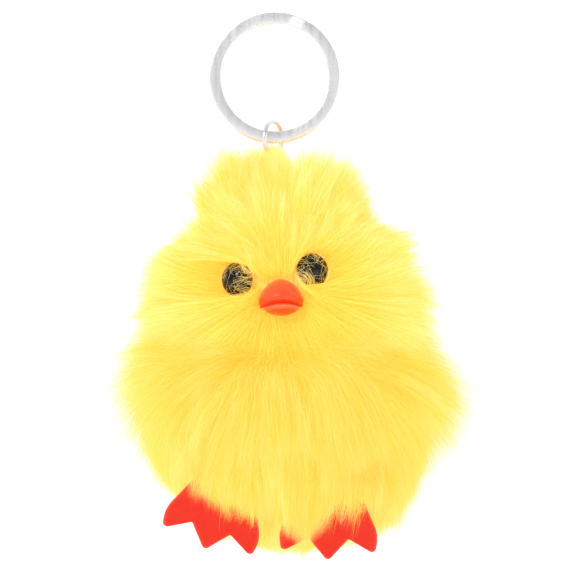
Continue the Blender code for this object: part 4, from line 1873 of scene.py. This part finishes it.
    def ruffled(self, ways: np.ndarray) -> np.ndarray:
        """How much longer or shorter the fur stands in each slow patch."""
        places = ways * np.array(self.core)
        return 1 + self.ruffle * 2 * (drift(places, self.ruffle_waves, self.seed + 9) - 0.5)

    def tips(self, ways: np.ndarray, size: np.ndarray) -> np.ndarray:
        """Where fibres that root along these directions end."""
        leaned = unit(ways + self.comb(ways))
        return np.array(self.centre) + leaned * (self.reach.at(leaned) * size)[:, None]

    def bend(
        self,
        roots: np.ndarray,
        tips: np.ndarray,
        ways: np.ndarray,
        owner: np.ndarray,
        rng: np.random.Generator,
    ) -> np.ndarray:
        """Curve each fibre from its root, out of the skin and over to its tip.

        Args:
            roots: Where each fibre roots.
            tips: Where each ends.
            ways: The unit direction out of the skin at each root.
            owner: The strand that each fibre is in.
            rng: The random draw.

        Returns:
            Each fibre's points from root to tip.
        """
        count, strands = len(roots), owner[-1] + 1
        length = np.linalg.norm(tips - roots, axis=1, keepdims=True)
        stand = rng.uniform(*self.stand, (strands, 1))[owner]
        knee = roots + ways * length * stand + (tips - roots) * self.knee
        strand_knee, strand_sway = self.tuft_stray
        fibre_knee, fibre_sway = self.fibre_stray
        knee += rng.normal(0, strand_knee, (strands, 3))[owner]
        knee += rng.normal(0, fibre_knee, (count, 3))
        run = np.linspace(0, 1, self.rows)[None, :, None]
        points = bowed(roots, knee, tips, run)
        sway = rng.normal(0, strand_sway, (strands, 1, 3))[owner]
        sway = sway + rng.normal(0, fibre_sway, (count, 1, 3))
        return points + sway * np.sin(run * rng.uniform(3, 8, (strands, 1, 1))[owner]) * run


@dataclass(frozen=True)
class Crest:
    """The tall tuft in front of the hanging loop, which hides the loop's foot, in millimetres."""

    seed: int = 71
    fibres: int = 2400
    per_strand: int = 15
    middle: float = -0.3
    spread: float = 2.1
    behind: tuple[float, float] = (-4.2, -1.1)
    height: float = 17.4
    half_width: float = 7.0
    flare: tuple[float, float] = (1.25, 0.7)
    root_stray: float = 0.35
    tip_stray: float = 0.22
    sway: float = 0.5
    rows: int = 5
    heights: tuple[float, float] = (0.86, 1.02)
    tops: tuple[float, float] = (0.9, 1.0)
    width: float = 0.09
    widths: tuple[float, float] = (0.6, 1.3)
    turned: float = 0.5
    shade: float = 0.14

    def grow(self, head: Head) -> Fibres:
        """Grow the crest from the head's ball up to its tips.

        Args:
            head: The head that it stands on.

        Returns:
            The crest's fibres.
        """
        rng = np.random.default_rng(self.seed)
        count, strands = self.fibres, self.fibres // self.per_strand
        owner = np.repeat(np.arange(strands), self.per_strand)
        beside = rng.normal(self.middle, self.spread, strands)
        spot = np.stack([beside, rng.uniform(*self.behind, strands)], axis=1)
        root = spot[owner] + rng.normal(0, self.root_stray, (count, 2))
        tall = self.height * np.exp(-((spot[:, 0] / self.half_width) ** 2))
        tall = tall * rng.uniform(*self.heights, strands)
        tip = spot[owner] * self.flare + rng.normal(0, self.tip_stray, (count, 2))
        crown, _axis = joint("cord_twist")
        at_crown = np.array([crown.x, crown.y])
        centre = np.array(head.centre)
        flat = root * MM + at_crown - centre[:2]
        base = centre[2] + np.sqrt(head.radius**2 - (flat**2).sum(axis=1))
        top = crown.z + tall[owner] * MM * rng.uniform(*self.tops, count)
        run = np.linspace(0, 1, self.rows)[None, :, None]
        start = np.concatenate([root * MM + at_crown, base[:, None]], axis=1)
        end = np.concatenate([tip * MM + at_crown, top[:, None]], axis=1)
        points = start[:, None] * (1 - run) + end[:, None] * run
        sway = rng.normal(0, self.sway * MM, (strands, 1, 3))[owner]
        points += sway * np.sin(run * math.pi)
        forward = np.tile([0.0, -1.0, 0.0], (count, 1))
        facing = unit(forward + rng.normal(0, self.turned, (count, 3)))
        shade = rng.uniform(0.0, self.shade, strands)[owner]
        width = self.width * MM * rng.uniform(*self.widths, count)
        return Fibres(points, width, shade, facing)


@dataclass(frozen=True)
class Lid:
    """Fur that hides one side of an eye: the side's angle, and how far in it comes in eye radii."""

    angle: float
    least: float
    fibres: int = 75
    most: float = 1.20
    lean: float = 0.16
    overhang: float = 0.12
    reaches: tuple[float, float] = (0.5, 1.15)
    crowding: float = 0.6
    widths: tuple[float, float] = (0.00004, 0.00008)


@dataclass(frozen=True)
class EyeWisps:
    """Fine curly fibres that cross an eye, and the fringes that hide part of its rim."""

    node: str
    seed: int
    lids: tuple[Lid, ...]
    fibres: int = 150
    long_share: float = 0.5
    long_side: tuple[float, float] = (0.9, 1.4)
    starts: tuple[float, float] = (1.05, 1.3)
    swings: tuple[float, float] = (0.9, 0.35)
    long_ends: tuple[float, float] = (0.2, 1.1)
    short_ends: tuple[float, float] = (0.78, 0.98)
    curls: tuple[float, float] = (0.36, 0.12)
    widths: tuple[float, float] = (0.00004, 0.00007)
    turned: float = 0.4
    rows: int = 9
    lift: tuple[float, float] = (0.00012, 0.0007)
    rise: float = 0.002
    shade: float = 0.4

    def grow(self, head: Head) -> Fibres:
        """Grow the fibres round the eye, close over its dome.

        Args:
            head: The head that carries the eye.

        Returns:
            The fibres, rooted round the eye.
        """
        mount = head.mounts[self.node]
        dome = Eye(mount)
        rng = np.random.default_rng(self.seed)
        start, end, knee, width = self.crossing(rng)
        for lid in self.lids:
            start, end, knee, width = self.fringed(lid, rng, (start, end, knee, width))
        count = len(width)
        flat = bowed(start, knee, end, np.linspace(0, 1, self.rows)[None, :, None])
        far = np.linalg.norm(flat, axis=2)
        dome_z = dome.lift + dome.rim + dome.height * np.sqrt(np.clip(1 - far**2, 0.0, 1.0))
        lift = rng.uniform(*self.lift, (count, 1)) + self.rise * np.clip(far - 1, 0, 1)
        local = np.concatenate([flat * dome.radius, (dome_z + lift)[..., None]], axis=2)
        points = local @ np.array(mount.matrix.to_3x3()).T + np.array(mount.spot)
        facing = np.tile(np.array(mount.out), (count, 1)) + rng.normal(0, self.turned, (count, 3))
        return Fibres(points, width, rng.uniform(0.0, self.shade, count), unit(facing))

    def crossing(self, rng: np.random.Generator) -> Strokes:
        """Short fibres all round the rim, and long ones across the eye, in eye radii.

        Args:
            rng: The random draw that the eye's fibres share.

        Returns:
            Each fibre's start, end and knee, and its width in metres.
        """
        count = self.fibres
        long = rng.random(count) < self.long_share
        anywhere = rng.normal(*self.long_side, count)
        around = np.where(long, anywhere, rng.uniform(0, 2 * math.pi, count))
        start = on_circle(around) * rng.uniform(*self.starts, (count, 1))
        swing = around + rng.normal(0, 1, count) * np.where(long, *self.swings)
        far_ends = rng.uniform(*self.long_ends, count)
        reach = np.where(long, far_ends, rng.uniform(*self.short_ends, count))
        end = on_circle(swing) * reach[:, None]
        stray = rng.normal(0, 1, (count, 2)) * np.where(long, *self.curls)[:, None]
        return start, end, (start + end) / 2 + stray, rng.uniform(*self.widths, count)

    @staticmethod
    def fringed(lid: Lid, rng: np.random.Generator, strokes: Strokes) -> Strokes:
        """Add one lid's fringe, which lies across its side of the eye.

        Args:
            lid: The lid.
            rng: The random draw that the eye's fibres share.
            strokes: The fibres so far.

        Returns:
            The fibres with the fringe after them.
        """
        start, end, knee, width = strokes
        side = np.array([math.cos(lid.angle), math.sin(lid.angle)])
        along = np.array([-side[1], side[0]])
        out = lid.least + (lid.most - lid.least) * rng.random((lid.fibres, 1)) ** lid.crowding
        reach = rng.uniform(*lid.reaches, (lid.fibres, 1))
        lean = rng.normal(0, lid.lean, (lid.fibres, 1))
        first = side * (out + lid.overhang) + along * reach
        last = side * (out + lean) - along * reach * 0.8
        bend = side * (out - 0.05 + lean) + along * lean
        return (
            np.concatenate([start, first]),
            np.concatenate([end, last]),
            np.concatenate([knee, bend]),
            np.append(width, rng.uniform(*lid.widths, lid.fibres)),
        )


@dataclass
class Coat:
    """All the fur and the two stuffed balls under it."""

    head: Head
    feet_front: float = 0.0009
    proud: float = 0.0094
    proud_share: float = 0.03
    foot_fringe: tuple[float, float] = (0.0006, 0.0075)
    skin_play: float = 1.02
    ball_scale: float = 0.985
    gathers: int = 9
    gather_height: float = 0.012
    lump_height: float = 0.006
    eye_clear: tuple[float, float] = (0.0037, 0.0037)
    beak_clear: tuple[float, float] = (0.0050, 0.0042)
    beak_drop: float = 0.0008
    face_play: float = 0.001
    foot_margin: float = 0.001
    foot_rise: float = 0.003
    foot_depth: float = 0.006
    root_drop: float = 0.0015
    heel_bulge: tuple[float, float] = (0.0014, 0.003)
    inner_fringe: float = 0.0012
    fringe_middle: float = 0.008
    fringe_height: float = 0.0055
    fringe_width: float = 0.010
    band: float = 0.33
    crest: Crest = Crest()
    wisps: tuple[EyeWisps, ...] = (
        EyeWisps("left_eye", 40, (Lid(math.radians(40), 0.88),)),
        EyeWisps(
            "right_eye", 41, (Lid(math.radians(222), 0.62), Lid(math.radians(340), 0.74))
        ),
    )

    def build(self) -> None:
        """Grow, trim and divide the fur, and lay the balls under it."""
        beak = self.head.mounts["beak"]
        face = beak.spot + beak.out * 0.001 + Vector((0, 0, 0.0015))
        head = Pelt(
            body="head",
            centre=self.head.centre,
            core=(self.head.radius,) * 3,
            reach=HEAD_REACH,
            face=face,
            tufts=1150,
            lean=0.22,
            face_lean=0.72,
            weight=0.05,
            seed=11,
            hang=0.8,
        )
        low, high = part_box("body_stuffing")
        torso = Pelt(
            body="torso",
            centre=(Vector(low) + Vector(high)) / 2,
            core=tuple((high[i] - low[i]) / 2 + self.head.backing for i in range(3)),
            reach=TORSO_REACH,
            face=face,
            tufts=1600,
            lean=0.26,
            face_lean=0.10,
            weight=0.25,
            seed=23,
            drape=0.6,
            apron=0.4,
            gold=0.24,
        )
        self.add_ball("head_ball", head, ("head_fur_cover", "head_stuffing"))
        self.add_ball("torso_ball", torso, ("body_fur_cover", "body_stuffing"))
        self.add_fur("head_crest", self.crest.grow(self.head), "head")
        fur = self.clear_face(head.grow())
        for name, part in self.divide(fur, head.centre).items():
            self.add_fur(f"head_fur_{name}", part, "head")
        for wisps in self.wisps:
            self.add_fur(f"{wisps.node}_wisps", wisps.grow(self.head), "head")
        fur = self.lift_over_feet(torso.grow())
        far = np.linalg.norm(fur.points[:, 0] - np.array(self.head.centre), axis=1)
        outside = far > self.head.radius * self.skin_play
        for name, part in self.divide(fur.keep(outside), torso.centre).items():
            self.add_fur(f"torso_fur_{name}", part, "torso")

    def add_fur(self, name: str, fibres: Fibres, body: str) -> None:
        """Make one region of fur a piece, trimmed to how far the pile may stand proud.

        Args:
            name: The piece's name.
            fibres: Its fibres.
            body: The body that it moves with.
        """
        low, high = (np.array(corner) for corner in CAD_BOX)
        proud = self.proud + self.proud_share * (high - low)
        fibres.points = np.clip(fibres.points, low - proud, high + proud)
        piece = new_piece(name, fibres.mesh(name), dressed(PILE))
        settle(piece, body, Part.FUR)
        LOG.info("%s: %d fibres", name, len(fibres.width))

    def add_ball(self, name: str, pelt: Pelt, nodes: tuple[str, ...]) -> None:
        """Lay a stuffed ball with a puckered skin under its fur.

        Args:
            name: The piece's name.
            pelt: The fur that grows on it, for its size and body.
            nodes: The CAD nodes that it stands for.
        """
        mesh = bpy.data.meshes.new(name)
        shape = bmesh.new()
        bmesh.ops.create_icosphere(shape, subdivisions=5, radius=1.0)
        for vert in shape.verts:
            way = vert.co.normalized()
            scale = self.ball_scale + self.pucker(way) + self.lump(way)
            vert.co = pelt.centre + Vector(way[i] * pelt.core[i] * scale for i in range(3))
        shape.to_mesh(mesh)
        shape.free()
        piece = new_piece(name, mesh, dressed(BACKING))
        settle(piece, pelt.body, Part.STUFFING, *nodes)

    def pucker(self, way: Vector) -> float:
        """How far the gathers at a ball's top and bottom lift its skin, as a share."""
        gathers = math.sin(self.gathers * math.atan2(way.y, way.x))
        return self.gather_height * gathers * max(abs(way.z) - 0.5, 0.0)

    def lump(self, way: Vector) -> float:
        """How far the filling pushes the skin out, as a share."""
        pattern = math.sin(way.x * 7 + 1.3) * math.sin(way.y * 6) * math.sin(way.z * 8)
        return self.lump_height * pattern

    def clear_face(self, fibres: Fibres) -> Fibres:
        """Part the fur over the eyes and the beak.

        Args:
            fibres: The head's fibres.

        Returns:
            The fibres that cover none of the face.
        """
        keep = np.ones(len(fibres.width), dtype=bool)
        for mount in self.head.mounts.values():
            is_beak = mount.node == "beak"
            across, tall = self.beak_clear if is_beak else self.eye_clear
            lowered = Vector((0, 0, -self.beak_drop if is_beak else 0.0))
            offset = fibres.points - np.array(mount.spot + lowered)
            out = np.array(mount.out)
            depth = offset @ out
            flat = offset - depth[..., None] * out
            right = flat @ np.array(mount.matrix.col[0].to_3d())
            up = flat @ np.array(mount.matrix.col[1].to_3d())
            over = ((right / across) ** 2 + (up / tall) ** 2 < 1) & (depth > -self.face_play)
            before = (offset[..., 0] / across) ** 2 + (offset[..., 2] / tall) ** 2 < 1
            before &= offset[..., 1] < self.face_play
            keep &= ~(over | before).any(axis=1)
        return fibres.keep(keep)

    def lift_over_feet(self, fibres: Fibres) -> Fibres:
        """Lay the fur in front of a foot where it roots above it, and behind where it doesn't.

        Args:
            fibres: The torso's fibres.

        Returns:
            The same fibres, moved.
        """
        points = fibres.points
        for side in ("left", "right"):
            low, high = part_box(f"{side}_foot")
            hinge, _axis = joint(f"{side}_foot_flap")
            inside = (
                (points[..., 0] > low[0] - self.foot_margin)
                & (points[..., 0] < high[0] + self.foot_margin)
                & (points[..., 2] < hinge.z + self.foot_rise)
                & (points[..., 1] < hinge.y + self.foot_depth)
            )
            above = points[:, 0, 2] > hinge.z - self.root_drop
            self.lengthen(points, above, hinge, side)
            front = inside & above[:, None]
            behind = inside & ~above[:, None]
            y = points[..., 1]
            proud, half = self.heel_bulge
            bulge = proud * np.exp(-(((points[..., 2] - hinge.z) / half) ** 2))
            y = np.where(front, np.minimum(y, hinge.y - self.feet_front - bulge), y)
            y = np.where(behind, np.maximum(y, hinge.y + self.feet_front), y)
            points[..., 1] = y
        return fibres

    def lengthen(self, points: np.ndarray, above: np.ndarray, hinge: Vector, side: str) -> None:
        """Draw the fringe in front of a foot down over it, further on its inner toe.

        Args:
            points: The torso's fibre points, which are changed.
            above: Which fibres root above the foot.
            hinge: The middle of the foot's hinge line.
            side: left or right.
        """
        outer, inner = self.foot_fringe if side == "right" else (0.0, self.inner_fringe)
        tips = points[:, -1]
        across = (tips[:, 0] - hinge.x) / self.fringe_width
        toward = across if side == "right" else -across
        below = (tips[:, 2] - hinge.z + self.fringe_middle) / self.fringe_height
        before = tips[:, 1] < hinge.y + 0.004
        near = np.exp(-(below**2)) * np.clip(1.5 - np.abs(across), 0, 1) * before * above
        drop = near * (inner + (outer - inner) * np.clip(0.75 + toward, 0, 1))
        run = np.linspace(0, 1, points.shape[1])
        points[..., 2] -= drop[:, None] * run**1.5

    def divide(self, fibres: Fibres, centre: Vector) -> dict[str, Fibres]:
        """Divide fur into regions round a ball.

        Args:
            fibres: All the fur of one ball.
            centre: The ball's middle.

        Returns:
            The fibres of each region, by its name.
        """
        offset = fibres.points[:, 0] - np.array(centre)
        angle = np.degrees(np.arctan2(offset[:, 0], -offset[:, 1]))
        height = offset[:, 2] / np.linalg.norm(offset, axis=1)
        levels = {
            "upper": height > self.band,
            "middle": (height <= self.band) & (height > -self.band),
            "lower": height <= -self.band,
        }
        regions = {}
        names = {"front": (-45, 45), "right": (45, 135), "left": (-135, -45)}
        for level, rows in levels.items():
            taken = np.zeros(len(angle), dtype=bool)
            for name, (start, end) in names.items():
                which = rows & (angle >= start) & (angle < end)
                taken |= which
                regions[f"{level}_{name}"] = fibres.keep(which)
            regions[f"{level}_back"] = fibres.keep(rows & ~taken)
        return regions


# --- Studio -----------------------------------------------------------------------------------


@dataclass
class Studio:
    """A pale floor, soft white light all round and the camera in front of the face."""

    view_width: float = 0.1329
    distance: float = 1.20
    floor_drop: float = 0.035
    floor_size: float = 4.0
    sensor: float = 36.0
    front_light: float = 0.50
    back_light: float = 1.22
    top_light: float = 0.14
    aim: Vector = field(default_factory=lambda: Vector((0.0030, 0.0, -0.0611)))

    def build(self) -> None:
        """Set up the floor, the lights and the camera."""
        self.add_floor()
        self.add_world()
        self.add_lamp("key", (-0.30, -0.45, 0.22), 0.15, 0.90)
        self.add_lamp("fill", (0.45, -0.40, -0.15), 0.40, 0.55)
        self.add_camera()
        bpy.context.scene.view_settings.view_transform = "Standard"

    def add_camera(self) -> None:
        """Aim the camera level along +Y."""
        data = bpy.data.cameras.new("camera")
        data.sensor_width = self.sensor
        data.lens = data.sensor_width * self.distance / self.view_width
        data.clip_end = 20.0
        camera = bpy.data.objects.new("camera", data)
        camera.location = self.aim + Vector((0.0, -self.distance, 0.0))
        camera.rotation_euler = (math.pi / 2, 0.0, 0.0)
        bpy.context.scene.collection.objects.link(camera)
        bpy.context.scene.camera = camera

    def add_floor(self) -> None:
        """A wide pale floor under the feet."""
        mesh = bpy.data.meshes.new("floor")
        shape = bmesh.new()
        bmesh.ops.create_grid(shape, x_segments=1, y_segments=1, size=self.floor_size)
        shape.to_mesh(mesh)
        shape.free()
        shader = Shader("floor_paint")
        shader.fix(
            Base_Color=(0.95, 0.95, 0.95),
            Roughness=0.9,
            Emission_Color=(1.0, 1.0, 1.0),
            Emission_Strength=0.15,
        )
        floor = new_piece("floor", mesh, shader.material)
        floor.location.z = CAD_BOX[0][2] - self.floor_drop

    def add_world(self) -> None:
        """White light from behind and above, and greyer light from in front and below."""
        world = bpy.data.worlds.new("studio")
        bpy.context.scene.world = world
        world.use_nodes = True
        tree = world.node_tree
        place = add_node(tree, "ShaderNodeTexCoord")
        parts = add_node(tree, "ShaderNodeSeparateXYZ", {"Vector": place.outputs["Generated"]})
        shares = (self.front_light, self.back_light)
        depth = spread_out(
            tree, parts.outputs["Y"], (-0.7, 0.5), shares, interpolation_type="SMOOTHSTEP"
        )
        height = spread_out(tree, parts.outputs["Z"], (-0.6, 0.6), (-self.top_light, self.top_light))
        background = tree.nodes["Background"]
        background.inputs["Color"].default_value = (1.0, 1.0, 1.0, 1.0)
        feed(tree, background, {"Strength": work_out(tree, "ADD", depth, height)})

    def add_lamp(self, name: str, place: tuple[float, float, float], size: float, power: float) -> None:
        """Add one large soft lamp that faces the object.

        Args:
            name: The lamp's name.
            place: Where it stands.
            size: Its width.
            power: Its power in watts.
        """
        data = bpy.data.lights.new(name, "AREA")
        data.size = size
        data.energy = power
        lamp = bpy.data.objects.new(name, data)
        lamp.location = place
        lamp.rotation_euler = (self.aim - lamp.location).to_track_quat("-Z", "Y").to_euler()
        bpy.context.scene.collection.objects.link(lamp)


def main() -> None:
    """Build every piece in order, then repaint the gathering threads and the washers."""
    Shared.build()
    Studio().build()
    head = Head()
    steps: dict[str, Callable[[], None]] = {
        "key ring": KeyRing().build,
        "jump ring": JumpRing().build,
        "hang loop": HangLoop().build,
        "left eye": Eye(head.mounts["left_eye"]).build,
        "right eye": Eye(head.mounts["right_eye"]).build,
        "beak": Beak(head.mounts["beak"]).build,
        "left foot": Foot("left").build,
        "right foot": Foot("right").build,
        "coat": Coat(head).build,
    }
    for name, build in steps.items():
        build()
        LOG.info("built the %s", name)
    for place in ("crown", "neck", "base"):
        repaint(f"{place}_gathering_thread", dressed(THREAD))
    for node in ("left_eye_washer", "right_eye_washer", "beak_washer"):
        repaint(node, dressed(WASHER))
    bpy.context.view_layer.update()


if __name__ == "__main__":
    logging.basicConfig(level=logging.INFO, format="%(message)s")
    main()
